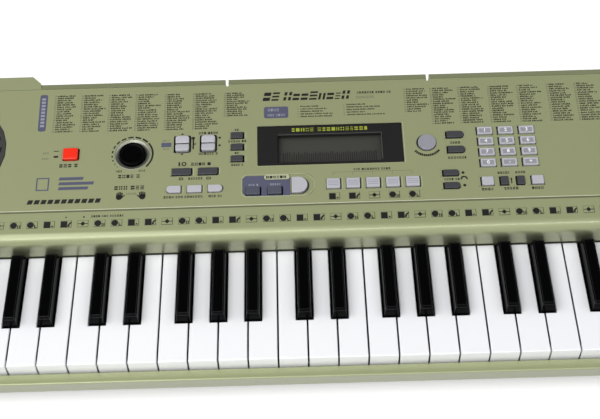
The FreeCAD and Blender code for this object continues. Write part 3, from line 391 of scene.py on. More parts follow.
# Making pieces

def linkPiece(name, mesh, body, material):
    piece = addObject(name, mesh)
    mesh.materials.clear()
    mesh.materials.append(looks[material])
    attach(piece, body)
    return piece


def keepFlatsFlat(piece):
    # rounded edges shade smoothly while the large flat faces stay flat
    weighted = piece.modifiers.new("flats", "WEIGHTED_NORMAL")
    weighted.mode = "FACE_AREA"
    weighted.weight = 100
    weighted.thresh = 0.005


def dressNode(node, body, material, edge=0.3, segments=3, angle=32, shape=None, more=()):
    # a copy of the CAD piece with its facets joined and its edges rounded over; shape may change
    # the copy, and more names the materials of the faces that it marks
    mesh = nodes[node].data.copy()
    mesh.name = node + "_dress"
    work = bmesh.new()
    work.from_mesh(mesh)
    bmesh.ops.remove_doubles(work, verts=work.verts, dist=0.002 * mm)
    bmesh.ops.dissolve_limit(work, angle_limit=math.radians(0.6), verts=work.verts, edges=work.edges)
    for face in work.faces:
        face.material_index = 0
    if shape:
        shape(work)
    work.to_mesh(mesh)
    work.free()
    marked = [face.material_index for face in mesh.polygons]
    piece = linkPiece(node + "_dress", mesh, body, material)
    for name in more:
        mesh.materials.append(looks[name])
    mesh.polygons.foreach_set("material_index", marked)
    for face in mesh.polygons:
        face.use_smooth = True
    bevel = piece.modifiers.new("edges", "BEVEL")
    bevel.width = edge * mm
    bevel.segments = segments
    bevel.limit_method = "ANGLE"
    bevel.angle_limit = math.radians(angle)
    keepFlatsFlat(piece)
    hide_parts(node)
    return piece


def paintNode(node, material):
    mesh = nodes[node].data
    mesh.materials.clear()
    mesh.materials.append(looks[material])


def addPiece(name, parts, body, material, smooth=False):
    # parts holds points and faces
    mesh = bpy.data.meshes.new(name)
    mesh.from_pydata(parts[0], [], parts[1])
    for face in mesh.polygons:
        face.use_smooth = smooth
    return linkPiece(name, mesh, body, material)


def outline(across, up, width, depth, radii, inset=0, steps=6):
    # a rectangle's outline with each corner's own radius, anticlockwise from lower left
    left, right = across - width / 2 + inset, across + width / 2 - inset
    low, high = up - depth / 2 + inset, up + depth / 2 - inset
    corners = [(left, low, 180), (right, low, 270), (right, high, 0), (left, high, 90)]
    points = []
    for (x, y, start), radius in zip(corners, radii):
        radius = max(radius - inset, 0.02)
        middleX = x + radius if x == left else x - radius
        middleY = y + radius if y == low else y - radius
        for step in range(steps + 1):
            angle = math.radians(start + 90 * step / steps)
            points.append((middleX + radius * math.cos(angle), middleY + radius * math.sin(angle)))
    return points


def circle(across, up, radius, sides=48):
    return [(across + radius * math.cos(2 * math.pi * number / sides),
             up + radius * math.sin(2 * math.pi * number / sides)) for number in range(sides)]


def wallFaces(first, levels, count):
    # walls between rings of points that follow each other
    return [(low + number, low + (number + 1) % count, low + count + (number + 1) % count,
             low + count + number)
            for low in range(first, first + (levels - 1) * count, count) for number in range(count)]


def loft(parts, rings, closeTop=True, closeBottom=False):
    # walls through outlines of as many points, each with its height or a function that gives it;
    # parts gathers points and faces on the deck
    points, faces = parts
    first = len(points)
    count = len(rings[0][0])
    for ring, lift in rings:
        points.extend(onDeck(x, y, lift(x, y) if callable(lift) else lift) for x, y in ring)
    faces.extend(wallFaces(first, len(rings), count))
    if closeTop:
        faces.append(tuple(range(len(points) - count, len(points))))
    if closeBottom:
        faces.append(tuple(reversed(range(first, first + count))))


def capPlaces(node):
    # across, up, width, depth and top of each button that a CAD node holds, measured above the panel
    work = bmesh.new()
    work.from_mesh(nodes[node].data)
    bmesh.ops.remove_doubles(work, verts=work.verts, dist=0.002 * mm)
    seen = set()
    places = []
    for vertex in work.verts:
        if vertex in seen:
            continue
        island = {vertex}
        queue = [vertex]
        while queue:
            for edge in queue.pop().link_edges:
                for other in edge.verts:
                    if other not in island:
                        island.add(other)
                        queue.append(other)
        seen |= island
        local = [deckPlace(other.co) for other in island]
        cap = [point for point in local if point[2] > 0.1]
        left, right = min(p[0] for p in cap), max(p[0] for p in cap)
        low, high = min(p[1] for p in cap), max(p[1] for p in cap)
        places.append(((left + right) / 2, (low + high) / 2, right - left, high - low,
                       max(p[2] for p in cap)))
    work.free()
    return sorted(places, key=lambda place: (-round(place[1]), place[0]))


# Case and keys

keybed = {
    "wall": -23.9,         # the wall behind the keys, in millimetres
    "wallLow": 40.8,
    "wallHigh": 58.5,
    "felt": 2.0,
    "footShadeThick": 0.25,
    "half": 335.0,
    "whiteTop": 40.0,
    "whiteSkin": 1.3,      # below this the sides of the white keys are shaded
    "whiteFront": -108.0,
    "blackRear": -25.6,    # the black keys' tops run back to here
    "blackSlope": -31.0,
    "blackShift": 2.3,
    "railBack": -115.0,    # the rail in front of the keys
    "railLow": 28.0,
    "railHigh": 33.0,
    "railDrop": 2.0,
    "backBand": 90.0,      # the band behind the panel slopes down from here
}


def shapeCase(work):
    # the rail lies a little lower than its collision shape; the wall, the rail's front face and the band
    # behind the panel take darker copies of the paint, as painted shade
    for vertex in work.verts:
        x, y, z = vertex.co / mm
        onRail = abs(x) < keybed["half"] + 4 and y < keybed["railBack"]
        if onRail and keybed["railLow"] < z < keybed["railHigh"]:
            vertex.co.z -= keybed["railDrop"] * mm
    work.normal_update()
    for face in work.faces:
        middle = face.calc_center_median() / mm
        onWall = keybed["wall"] - 0.3 < middle.y < keybed["wall"] + 6.5
        if onWall and keybed["wallLow"] < middle.z < keybed["wallHigh"] and face.normal.y < -0.3:
            face.material_index = 1
        elif middle.y < keybed["railBack"] and face.normal.y < -0.8:
            face.material_index = 2
        elif middle.y > keybed["backBand"] and face.normal.z > 0.5 and face.normal.y > 0.05:
            face.material_index = 3


def markWhiteSides(work):
    # painted shade: the sides of the white keys are darker below their tops and behind their front corners,
    # where the gaps between them lie in shade
    for place, normal in (((0, 0, keybed["whiteTop"] - keybed["whiteSkin"]), (0, 0, 1)),
                          ((0, keybed["whiteFront"], 0), (0, 1, 0))):
        bmesh.ops.bisect_plane(work, geom=list(work.verts) + list(work.edges) + list(work.faces),
                               plane_co=Vector(place) * mm, plane_no=normal)
    for face in work.faces:
        middle = face.calc_center_median() / mm
        if (abs(face.normal.x) > 0.9 and middle.y > keybed["whiteFront"]
                and middle.z < keybed["whiteTop"] - keybed["whiteSkin"]):
            face.material_index = 1


def raiseBlackRear(work):
    # the rear ends of the black keys rise steeply to the wall
    for vertex in work.verts:
        if vertex.co.z > (keybed["whiteTop"] + 2) * mm and vertex.co.y > keybed["blackSlope"] * mm:
            vertex.co.y = min(vertex.co.y + keybed["blackShift"] * mm, keybed["blackRear"] * mm)


dressNode("upper_case", "case", "caseOlive", 0.5, shape=shapeCase,
          more=("caseWallShaded", "caseFrontShaded", "caseBackShaded"))
for node, body, material, slotName, edge, segments in (
        ("lower_case", "case", "darkOlive", "dark_olive_plastic", 0.4, 3),
        ("control_panel", "case", "panelPaint", "olive_plastic", 0.15, 2),
        ("speaker_grilles", "case", "grilleDark", "grille_dark", 0.3, 2),
        ("battery_door", "battery_door", "darkOlive", "dark_olive_plastic", 0.3, 3),
        ("rubber_feet", "case", "rubber", "rubber_dark", 0.4, 3),
        ("case_screws", "case", "screwSteel", "screw_steel", 0.2, 3)):
    dressNode(node, body, material, edge, segments)
for node, material in (("main_board", "boardGreen"), ("jack_board", "boardGreen"),
                       ("speaker_drivers", "speakerPaper"), ("key_frame", "frameGrey"),
                       ("contact_strip", "rubber")):
    paintNode(node, material)

for node in nodes:
    isBlack = "sharp" in node or node.endswith("black_keys")
    isWhite = not isBlack and node != "key_frame" and (node.startswith("key_") or node.endswith("white_keys"))
    if isBlack:
        # painted highlight: the black keys' bevels take a lighter finish, so that their edges show as bright
        # lines
        piece = dressNode(node, node, "keyBlack", 0.4, 2, 20, raiseBlackRear, ("keyEdgeHighlight",))
        piece.modifiers["edges"].material = 1
    elif isWhite:
        dressNode(node, node, "keyWhite", 0.6, 3, 20, markWhiteSides, ("keySidePaintedShade",))


def makeWallFootShade():
    # painted shade: a dark strip along the foot of the wall, where the shadow under its edge falls
    low, high = keybed["wallLow"], keybed["wallLow"] + keybed["felt"]
    rear, front = keybed["wall"], keybed["wall"] - keybed["footShadeThick"]
    sections = [(rear, low), (front, low + 0.1), (front, high - 0.1), (rear, high)]
    points = [Vector((way * keybed["half"], y, z)) * mm for way in (-1, 1) for y, z in sections]
    faces = [(number + 4, number, number + 1, number + 5) for number in range(3)]
    faces += [(3, 2, 1, 0), (4, 5, 6, 7), (0, 3, 7, 4)]
    addPiece("key_felt", (points, faces), "case", "wallFootShade")


makeWallFootShade()
print("case and keys dressed")


# Buttons

inset = {
    "left": -66.3,
    "right": -30.6,
    "low": 19.1,
    "high": 37.1,
    "floor": -0.6,
    "rimEnd": -13.2,       # the rim runs on round the half-round button
    "rim": [(0.54, 0.02), (0.44, 0.18), (0.32, 0.22), (0.2, 0.18), (0.1, 0.02)],     # outset and height
}

button = {
    "edge": 0.45,          # rounded top edge
    "low": -3.4,           # skirt inside the panel
    "corner": 0.7,
    "rim": 1.1,            # rim round the hollow of a keypad button
    "hollow": 0.3,
    "opening": 0.65,       # the CAD opening and its rounded edge lie this far outside the CAD cap
    "gapOpen": 1.15,       # painted shade: dark gap on the open side, on the other side, above and below
    "gapShut": 0.3,
    "gapHigh": 0.25,
    "gapUnder": 0.75,
    "gapDeep": -2.4,
    "turnAcross": 60,      # beyond this place the open side is on the left
    "powerTop": 2.2,
    "slots": {"buttonLight": "button_light", "buttonMid": "button_light", "buttonDark": "button_dark",
              "buttonSlate": "button_dark", "powerRed": "power_red"},
}
# how much narrower each cap is than its CAD piece, how far it stands off towards its shut side,
# and how much less deep it is
fits = {
    "power_button": [(1.0, 0.2, 1.2)],
    "lesson_buttons": [(1.6, 0.2, 0.0)],
    "demo_buttons": [(0.8, 0.0, 0.0)],
    "effect_buttons": [(0.2, 0.0, 0.0)],
    "record_buttons": [(1.2, 0.3, 0.0)],
    "play_button": [(0.8, 0.35, 0.0)],
    "drum_buttons": [(0.4, 0.1, 0.2)],
    "start_button": [(0.6, 0.4, 0.0)],
    "select_buttons": [(1.2, 0.6, 0.8), (1.2, 0.6, 0.8), (1.6, 0.8, 0.6), (1.6, 0.8, 0.6)],
    "keypad_buttons": [(0.8, 0.4, 0.0)],
    "chord_buttons": [(1.9, 0.9, 0.6), (1.6, 0.4, 0.6), (1.6, 1.4, 0.6), (2.0, 0.9, 0.6)],
}
gapShadeParts = ([], [])
collars = {"panelPaint": ([], []), "printBlue": ([], [])}


def cornerRadii(node, number, depth):
    full = depth / 2 - 0.02
    small = button["corner"]
    if node == "play_button" or (node == "effect_buttons" and number == 2):
        return [small, full, full, small]
    if node == "effect_buttons" and number == 0:
        return [full, small, small, full]
    if node == "select_buttons":
        end = full if number < 2 else 2.0
        return [small, end, end, small]
    if node in ("power_button", "demo_buttons"):
        return [1.2] * 4
    return [small] * 4


def fitted(node, number, across, width, depth):
    # the cap's own middle, width and depth; its open side is the one that the photograph shows
    side = -1 if across > button["turnAcross"] or node == "start_button" else 1
    slim, shift, trim = fits[node][number % len(fits[node])]
    return side, across - side * shift, width - slim, depth - trim


def addButton(piles, material, node, number, place, hollow=0.0):
    across, up, width, depth, top = place
    parts = piles.setdefault(material, ([], []))
    edge = button["edge"]
    side, middle, narrow, short = fitted(node, number, across, width, depth)
    if node == "power_button":
        top, edge = button["powerTop"], 0.7
    profile = [(0, button["low"]), (0, top - edge), (edge * 0.3, top - edge * 0.3), (edge, top)]
    if hollow:
        profile += [(button["rim"], top), (button["rim"] + hollow, top - hollow)]

    def ringAt(x, y, wide, deep, inset=0.0):
        if node == "start_button":
            return circle(x, y, wide / 2 - inset)
        return outline(x, y, wide, deep, cornerRadii(node, number, deep), inset)

    loft(parts, [(ringAt(middle, up, narrow, short, inset), lift) for inset, lift in profile],
         closeTop=not hollow)
    if hollow:
        floor = ringAt(middle, up, narrow, short, button["rim"] + hollow)
        loft(piles.setdefault("buttonMid", ([], [])), [(floor, top - hollow)])
    # the collar closes the CAD opening up to the gap that the photograph shows
    openSide, shutSide = button["gapOpen"], button["gapShut"]
    high, low = button["gapHigh"], button["gapUnder"]
    opening = ringAt(middle + side * (openSide - shutSide) / 2, up + (high - low) / 2,
                     narrow + openSide + shutSide, short + high + low)
    grown = ringAt(across, up, width, depth, -button["opening"])
    isRecord = node == "record_buttons"
    lift = inset["floor"] + 0.1 if isRecord else deck["printLift"] * 0.6
    loft(collars["printBlue" if isRecord else "panelPaint"], [(grown, lift), (opening, lift)], closeTop=False)
    # painted shade: a black sheet lines the gap from the opening down to the cap, wider on the open side
    loft(gapShadeParts, [(opening, lift + 0.02), (ringAt(middle, up, narrow, short, -0.08), button["gapDeep"])],
         closeTop=False)


def dressButtons(node, choose, hollow=0.0):
    # choose gives each button's finish, so that one row may hold light and dark ones
    places = capPlaces(node)
    piles = {}
    for number, place in enumerate(places):
        addButton(piles, choose(number), node, number, place, hollow)
    for number, (material, parts) in enumerate(piles.items()):
        name = node + ("_caps" if number == 0 else "_caps_second")
        piece = addPiece(name, parts, node, material, True)
        keepFlatsFlat(piece)
        if number == 0:
            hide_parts(node)
    return places


lesson = dressButtons("lesson_buttons", lambda number: "buttonDark")
demo = dressButtons("demo_buttons", lambda number: "buttonDark")
effect = dressButtons("effect_buttons", lambda number: "buttonLight")
record = dressButtons("record_buttons", lambda number: "buttonSlate")
dressButtons("play_button", lambda number: "buttonLight")
drum = dressButtons("drum_buttons", lambda number: "buttonLight")
start = dressButtons("start_button", lambda number: "buttonMid")
select = dressButtons("select_buttons", lambda number: "buttonDark")
keypad = dressButtons("keypad_buttons", lambda number: "buttonLight", button["hollow"])
chord = dressButtons("chord_buttons", lambda number: "buttonLight" if number in (0, 3) else "buttonDark")
dressButtons("power_button", lambda number: "powerRed")
for material, parts in collars.items():
    addPiece("collars_" + material, parts, "case", material)


# Rockers

rocker = {
    "width": 10.4,
    "half": 6.3,           # depth of each crowned half
    "split": 0.8,          # gap between them, which shows as a dark line of painted shade
    "shift": 0.1,
    "near": 1.0,           # the corners at the split, and those at the ends
    "far": 1.9,
    "rise": 1.9,
    "valley": 1.3,
    "crown": [(0.0, -3.6), (0.0, -0.75), (0.18, -0.25), (0.6, 0.0), (2.0, 0.1)],
    "coreSlim": 1.6,       # painted shade: the black body under the split, seen there as a dark line, is this much narrower and less deep
    "coreShort": 2.0,
    "coreTop": 0.6,
    "skirt": -3.4,
    "floor": -2.4,
    "corners": [1.2] * 4,
}


def dressRocker(node):
    across, up, width, depth, top = capPlaces(node)[0]
    middle = across + rocker["shift"]
    reach = rocker["half"] + rocker["split"] / 2

    def crowned(lift):
        # the crown rises from the split towards both ends
        climb = rocker["rise"] - rocker["valley"]
        return lambda x, y: lift + rocker["valley"] + climb * abs(y - up) / reach

    halves = ([], [])
    for way in (-1, 1):
        centre = up + way * (rocker["half"] + rocker["split"]) / 2
        radii = [rocker["near"]] * 2 + [rocker["far"]] * 2
        loft(halves, [(outline(middle, centre, rocker["width"], rocker["half"], radii[::way], inset),
                       lift if number == 0 else crowned(lift))
                      for number, (inset, lift) in enumerate(rocker["crown"])])
    piece = addPiece(node + "_caps", halves, node, "buttonLight", True)
    keepFlatsFlat(piece)
    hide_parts(node)
    # painted shade: a black body under the split, where the gap between the halves is in shadow
    core = ([], [])
    ring = outline(middle, up, rocker["width"] - rocker["coreSlim"],
                   rocker["half"] * 2 - rocker["coreShort"], [0.5] * 4)
    loft(core, [(ring, rocker["skirt"]), (ring, rocker["coreTop"])], closeBottom=True)
    addPiece(node + "_split_shade", core, node, "gapPaintedShade")
    # painted shade: a black sheet lines the opening round the rocker, wider to the right and below
    corners = rocker["corners"]
    opening = outline(across, up, width, depth, corners, -button["opening"])
    outer = outline(across + 0.25, up - 0.2, width, depth, corners, -button["opening"] - 0.25)
    floor = outline(middle, up, rocker["width"], reach * 2, corners, -0.5)
    loft(gapShadeParts, [(outer, deck["printLift"]), (opening, deck["printLift"]), (floor, rocker["floor"])],
         closeTop=False)


dressRocker("left_rocker")
dressRocker("right_rocker")
addPiece("button_gap_shade", gapShadeParts, "case", "gapPaintedShade")
print("buttons made")


# Volume knob and its ring

knob = {
    "place": (-148.9, 58.6),
    "cap": [(10.0, -3.6), (10.0, 0.7), (9.85, 1.25), (9.45, 1.6), (8.9, 1.7), (8.45, 1.58),
            (8.0, 1.3), (7.2, 1.08), (5.0, 0.98), (2.5, 0.94), (0.4, 0.93)],
    "shaft": [(2.9, -11.0), (2.9, -3.6), (10.0, -3.6)],
    "ring": [(10.3, -3.0), (10.35, -1.4), (10.5, -1.28), (12.75, 0.1), (12.95, 0.26), (13.2, 0.32),
             (13.45, 0.24), (13.6, 0.02)],
    "sides": 72,
}


def lathe(name, profile, body, material, closeTop=True):
    parts = ([], [])
    across, up = knob["place"]
    loft(parts, [(circle(across, up, radius, knob["sides"]), lift) for radius, lift in profile], closeTop)
    return addPiece(name, parts, body, material, True)


knobCap = lathe("volume_cap", knob["shaft"] + knob["cap"][1:], "volume_knob", "knobBlack")
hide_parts("volume_knob")
lathe("volume_ring", knob["ring"], "case", "dishSilver", closeTop=False)
print("knob made")


# Print on the panel: flat shapes gathered by ink

inks = {}


def printShape(ink, corners, lift=None):
    points, faces = inks.setdefault(ink, ([], []))
    first = len(points)
    lift = deck["printLift"] if lift is None else lift
    points.extend(onDeck(x, y, lift) for x, y in corners)
    faces.append(tuple(range(first, first + len(corners))))


def printBar(ink, left, low, width, height, lean=0.0, lift=None):
    top = low + height
    shift = lean * height
    printShape(ink, [(left, low), (left + width, low), (left + width + shift, top), (left + shift, top)],
               lift)


def printDisc(ink, across, up, radius):
    printShape(ink, circle(across, up, radius, 20))


def printArc(ink, across, up, inner, outer, start, end):
    # from one angle to another, anticlockwise, in degrees
    steps = max(1, int(abs(end - start) / 5))
    for step in range(steps):
        a, b = (math.radians(start + (end - start) * count / steps) for count in (step, step + 1))
        printShape(ink, [(across + reach * math.cos(angle), up + reach * math.sin(angle))
                         for reach, angle in ((inner, a), (outer, a), (outer, b), (inner, b))])


def printFrame(ink, across, up, width, depth, line):
    left, low = across - width / 2, up - depth / 2
    for shift in (0, depth - line):
        printBar(ink, left, low + shift, width, line)
    for shift in (0, width - line):
        printBar(ink, left + shift, low + line, line, depth - line * 2)


marks = [(2, 1), (3, 1), (2, 2), (1, 1), (2, 1), (3, 1), (1, 2)]     # rows and columns of plain blocks


def printMark(ink, left, low, width, height, rows, columns, slit, lean=0.0, lift=None):
    # plain blocks parted by slits, which stand for a sign and can't be read as one
    wide = (width - slit * (columns - 1)) / columns
    tall = (height - slit * (rows - 1)) / rows
    for row in range(rows):
        up = row * (tall + slit)
        for column in range(columns):
            printBar(ink, left + column * (wide + slit) + up * lean, low + up, wide, tall, lean, lift)


def printWords(ink, left, up, width, height, rng, weight=0.62, lift=None):
    # plain marks in groups, standing for a line of print
    place = left
    group = rng.randint(3, 8)
    while place < left + width - height * 0.3:
        size = height * weight * rng.uniform(0.8, 1.15)
        size = min(size, left + width - place)
        if height < 1.4 or size < height * 0.45:
            tall = height * (1.0 if rng.random() < 0.7 else 0.7)
            printBar(ink, place, up - height / 2, size, tall, 0, lift)
        else:
            rows, columns = rng.choice(marks)
            printMark(ink, place, up - height / 2, size, height, rows, columns, height * 0.17, 0, lift)
        place += size + height * 0.28
        group -= 1
        if group == 0:
            place += height * 0.5
            group = rng.randint(3, 8)


def printRows(rows, rng):
    # each row is ink, left, up, width and height, and the weight where it isn't the usual one
    for row in rows:
        printWords(*row[:5], rng, *row[5:])


def printTriangle(ink, across, up, size, way):
    # way is 1 for pointing up and -1 for down
    points = [(across - size, up - way * size * 0.5), (across + size, up - way * size * 0.5),
              (across, up + way * size * 0.6)]
    printShape(ink, points if way > 0 else points[::-1])


lists = {
    "columns": [            # left edge, top line, bottom line, lines
        (-211.1, 113.9, 81.0, 17), (-190.5, 113.6, 80.8, 17), (-169.4, 113.3, 80.6, 17),
        (-148.6, 113.0, 80.4, 17), (-126.2, 112.5, 80.3, 17), (-104.4, 112.4, 80.3, 17),
        (-80.4, 112.1, 91.4, 12), (58.2, 111.4, 90.7, 11), (78.4, 111.3, 79.0, 17),
        (100.0, 111.5, 79.0, 17), (123.0, 111.6, 78.9, 17), (145.5, 111.8, 78.8, 17),
        (168.8, 112.1, 78.8, 17), (190.2, 112.3, 78.8, 17), (211.8, 112.4, 78.8, 17),
    ],
    "height": 1.3,
    "number": 1.5,
    "textStart": 2.2,
    "short": 8.5,
    "long": 17.5,
}


def printLists():
    rng = random.Random(3)
    for left, top, bottom, lines in lists["columns"]:
        for line in range(lines):
            up = top + (bottom - top) * line / (lines - 1)
            printWords("printGrey", left, up, lists["number"], lists["height"], rng, 0.5)
            width = rng.uniform(lists["short"], lists["long"])
            printWords("printDark", left + lists["textStart"], up, width, lists["height"], rng)


headline = {
    "left": -50.6,
    "low": 104.0,
    "tall": 7.8,
    "short": 6.0,
    "tallMarks": (0, 1, 2, 5, 9),
    "widths": (5.4, 5.4, 5.8, 5.0, 5.2, 5.8, 5.0, 5.2, 3.8, 5.6),
    "gap": 1.3,
    "wideGap": 3.7,         # after the second mark
    "slit": 1.5,
    "lean": 0.22,
    "beside": [("printDark", 22.4, 109.5, 26.0, 2.0, 0.7), ("printGrey", 21.6, 105.2, 14.6, 2.2, 0.7)],
    "field": (-40.3, 93.1, 18.6, 10.6, [1.6] * 4),
    "onField": [(-46.6, 95.4, 9.4, 2.4, 0.75), (-46.8, 90.6, 13.8, 1.9, 0.7)],
    "lines": 5,
    "linePitch": 2.35,
    "lineColumns": [        # left edge of sign and text, middle of the first line, shortest and longest
        (-23.8, -21.6, 98.0, 14, 29), (11.5, 13.9, 98.6, 13, 32)],
    "endLabel": (-219.4, 98.6, 6.0, 34.0, -0.5 / 34.0),     # across, up, width, height and lean
    "endMarks": 9,
}


def printHeadings():
    rng = random.Random(5)
    # slanted plain marks in the place of the headline
    place = headline["left"]
    for number, size in enumerate(headline["widths"]):
        tall = headline["tall"] if number in headline["tallMarks"] else headline["short"]
        rows, columns = marks[number % len(marks)]
        if rows * columns == 1:
            rows = 2
        printMark("printDark", place, headline["low"], size, tall, rows, columns, headline["slit"],
                  headline["lean"])
        place += size + headline["wideGap" if number == 1 else "gap"]
    printRows(headline["beside"], rng)
    printShape("printBlue", outline(*headline["field"]))
    above = deck["printLift"] * 2
    for left, up, width, height, weight in headline["onField"]:
        printWords("printMist", left, up, width, height, rng, weight, above)
    for line in range(headline["lines"]):
        for sign, text, first, shortest, longest in headline["lineColumns"]:
            up = first - line * headline["linePitch"]
            printWords("printGrey", sign, up, 1.0, 1.1, rng)
            printWords("printDark", text, up, rng.uniform(shortest, longest), 1.15, rng)
    # slanted label at the left end
    across, middle, width, tall, lean = headline["endLabel"]
    corners = outline(0, 0, width, tall, [1.8] * 4)
    printShape("printBlue", [(across + x + y * lean, middle + y) for x, y in corners])
    for number in range(headline["endMarks"]):
        up = 85.6 + number * 3.1
        printBar("printMist", across - 1.5 + (up - middle) * lean, up, 3.0, 2.0, 0, above)


def printHand(across, up, way):
    # a plain hand with its thumb towards the middle
    printDisc("printBlack", across, up, 2.3)
    for finger in range(4):
        tall = 3.2 + 0.6 * (finger in (1, 2))
        printBar("printBlack", across - 2.25 + finger * 1.25, up + 0.6, 0.95, tall, way * 0.12)
    printBar("printBlack", across + way * 1.7 - 0.5, up - 0.8, 1.1, 2.6, way * 0.9)


labels = {
    "left": [               # at the power button, the knob, the lesson buttons and the rockers
        ("printGrey", -216.3, 61.7, 4.4, 1.6), ("printGrey", -216.9, 56.9, 4.8, 1.6),
        ("printDark", -203.4, 50.2, 15.2, 2.9, 0.8), ("printDark", -160.6, 43.9, 4.4, 1.6),
        ("printDark", -143.6, 44.0, 5.0, 1.6), ("printDark", -158.6, 39.3, 17.4, 2.9, 0.8),
        ("printDark", -161.0, 29.4, 23.0, 3.2, 0.8), ("printGrey", -152.3, 24.2, 7.6, 1.6),
        ("printGrey", -126.4, 70.0, 5.8, 1.4), ("printGrey", -125.8, 62.4, 5.0, 1.4),
        ("printDark", -99.2, 76.0, 14.4, 1.9, 0.75), ("printDark", -99.0, 57.4, 14.4, 1.9, 0.75)],
    "middle": [("printDark", -104.6, 48.4, 15.8, 2.6, 0.8), ("printDark", -106.4, 35.8, 11.4, 1.9, 0.75)],
    "bars": [               # left, low, width, height and lean
        (-208.4, 63.0, 3.8, 0.7), (-208.2, 57.6, 3.4, 1.6), (-103.8, 61.8, 1.1, 8.8),
        (-103.8, 65.8, 2.4, 1.0, 0.6), (-114.0, 46.9, 1.2, 3.6)],
    "discs": [(-103.3, 71.6, 1.3), (-83.4, 71.4, 0.95), (-83.4, 64.6, 0.95), (-195.0, 5.6, 0.6),
              (-182.0, 5.6, 0.7)],
    "signBars": (22.0, 26.0, 18.0),
    "lessonReach": (3.6, 13.5, 3.6),
    "effectReach": (14.4, 14.4, 9.6),
}
scale = {                   # dashes round the knob that grow into a solid arc
    "radius": 15.3,
    "first": 226.0,
    "last": -46,
    "solid": 60,
}


def printSmallLabels():
    rng = random.Random(7)
    dark = "printDark"

    def words(left, up, width, height=1.9, weight=0.75):
        printWords(dark, left, up, width, height, rng, weight)

    printRows(labels["left"], rng)
    for bar in labels["bars"]:
        printBar(dark, *bar)
    for disc in labels["discs"]:
        printDisc(dark, *disc)
    # plain bars in the place of the maker's sign and type
    for number, width in enumerate(labels["signBars"]):
        printBar("printBlue", -203.0, 29.0 + number * 4.2, width, 2.6, 0.3)
    printFrame("printBlue", -214.6, 34.4, 9.6, 11.2, 1.0)
    for number in range(11):
        printBar(dark, -225.0 + number * 5.0, 17.4, 3.7, 3.6, 0.3)
    across, up = knob["place"]
    angle, number = scale["first"], 0
    while angle > scale["solid"]:
        length = 2.5 + number * 1.6
        thick = 0.38 + number * 0.035
        printArc(dark, across, up, scale["radius"] - thick, scale["radius"] + thick, angle - length, angle)
        angle -= length + 8.5 - number * 0.4
        number += 1
    printArc(dark, across, up, scale["radius"] - 0.7, scale["radius"] + 0.7, scale["last"], angle)
    printHand(-157.2, 21.4, 1)
    printHand(-140.0, 21.4, -1)
    # round the rockers
    printShape("printBlue", outline(-123.6, 66.2, 7.6, 4.0, [0.5] * 4))
    printTriangle(dark, -111.6, 75.6, 1.3, 1)
    printTriangle(dark, -111.6, 57.4, 1.3, -1)
    # lesson, demo and effect labels
    for (across, up, width, depth, top), reach in zip(lesson, labels["lessonReach"]):
        words(across - reach / 2, up + 5.2, reach, 1.8)
    words(lesson[-1][0] - 4.4, lesson[-1][1] - 5.3, 8.8, 1.8)
    printArc(dark, -109.9, 48.7, 1.0, 1.9, 0, 360)
    printRows(labels["middle"], rng)
    for place in (-111.8, -91.4):
        printFrame(dark, place, 35.8, 3.2, 2.2, 0.6)
    for (across, up, width, depth, top), reach in zip(effect, labels["effectReach"]):
        words(across - reach / 2, 20.2, reach)
    # painted highlight: pale bars along the openings' right edges, where they catch the light
    for group, away in ((drum, 1.3), (demo, 1.1), (lesson, 1.1), (effect[:2], 1.3)):
        for across, up, width, depth, top in group:
            printBar("paleRimAndHighlight", across + width / 2 + away, up - depth / 2, 0.45, depth)
    # drum bracket and heading
    left, right = drum[0][0], drum[-1][0]
    printBar("printGrey", left, 37.6, right - left, 0.35)
    for across, up, width, depth, top in drum:
        printBar("printGrey", across - 0.18, 35.2, 0.36, 2.4)
    words(16.6, 39.9, 27.5, 1.8)
    # curved label under the start button
    across, up, width, depth, top = start[0]
    for number in range(14):
        a = 218 + number * 7.6
        printArc(dark, across, up, 10.4, 12.3, a, a + 6.2)
    # select and chord labels
    tone, lower = select[0][0], select[2][0]
    words(tone - 3.6, select[0][1] - 7.1, 7.6, 2.0)
    words(tone - 6.4, select[1][1] - 7.2, 13.6, 2.0)
    middle = (select[2][1] + select[3][1]) / 2
    words(lower - 4.8, middle, 11.6)
    printArc(dark, lower + 10.0, middle - 0.3, 1.7, 2.9, 20, 160)
    printTriangle(dark, lower + 7.9, middle - 0.2, 1.0, -1)
    printTriangle(dark, lower + 12.1, middle - 0.2, 1.0, -1)
    printDisc(dark, lower + 9.6, select[2][1], 1.15)
    printDisc(dark, lower + 9.9, select[3][1], 1.15)
    for number, shift in ((1, 0.2), (2, 2.2)):
        words(chord[number][0] - 4.3 + shift, chord[number][1] + 7.0, 8.6)
    middle = (chord[1][0] + chord[2][0]) / 2
    printBar(dark, middle - 0.4, chord[1][1] - 2.4, 0.8, 4.8)
    printTriangle(dark, middle, chord[1][1] + 1.6, 1.1, 1)
    words(chord[0][0] - 4.2, chord[0][1] - 6.8, 8.4, 2.1, 0.8)
    words(middle - 6.0, chord[1][1] - 6.6, 12.0, 2.1, 0.8)
    words(chord[3][0] - 4.2, chord[3][1] - 6.8, 8.8, 2.1, 0.8)
    # over the keys
    words(-176.8, 5.9, 23.8, 1.7)


symbols = {
    "first": -329.8,
    "pitch": 12.28,
    "count": 54,
    "width": 8.2,
    "height": 5.8,
    "line": 0.35,
    "grow": 1.14,
}


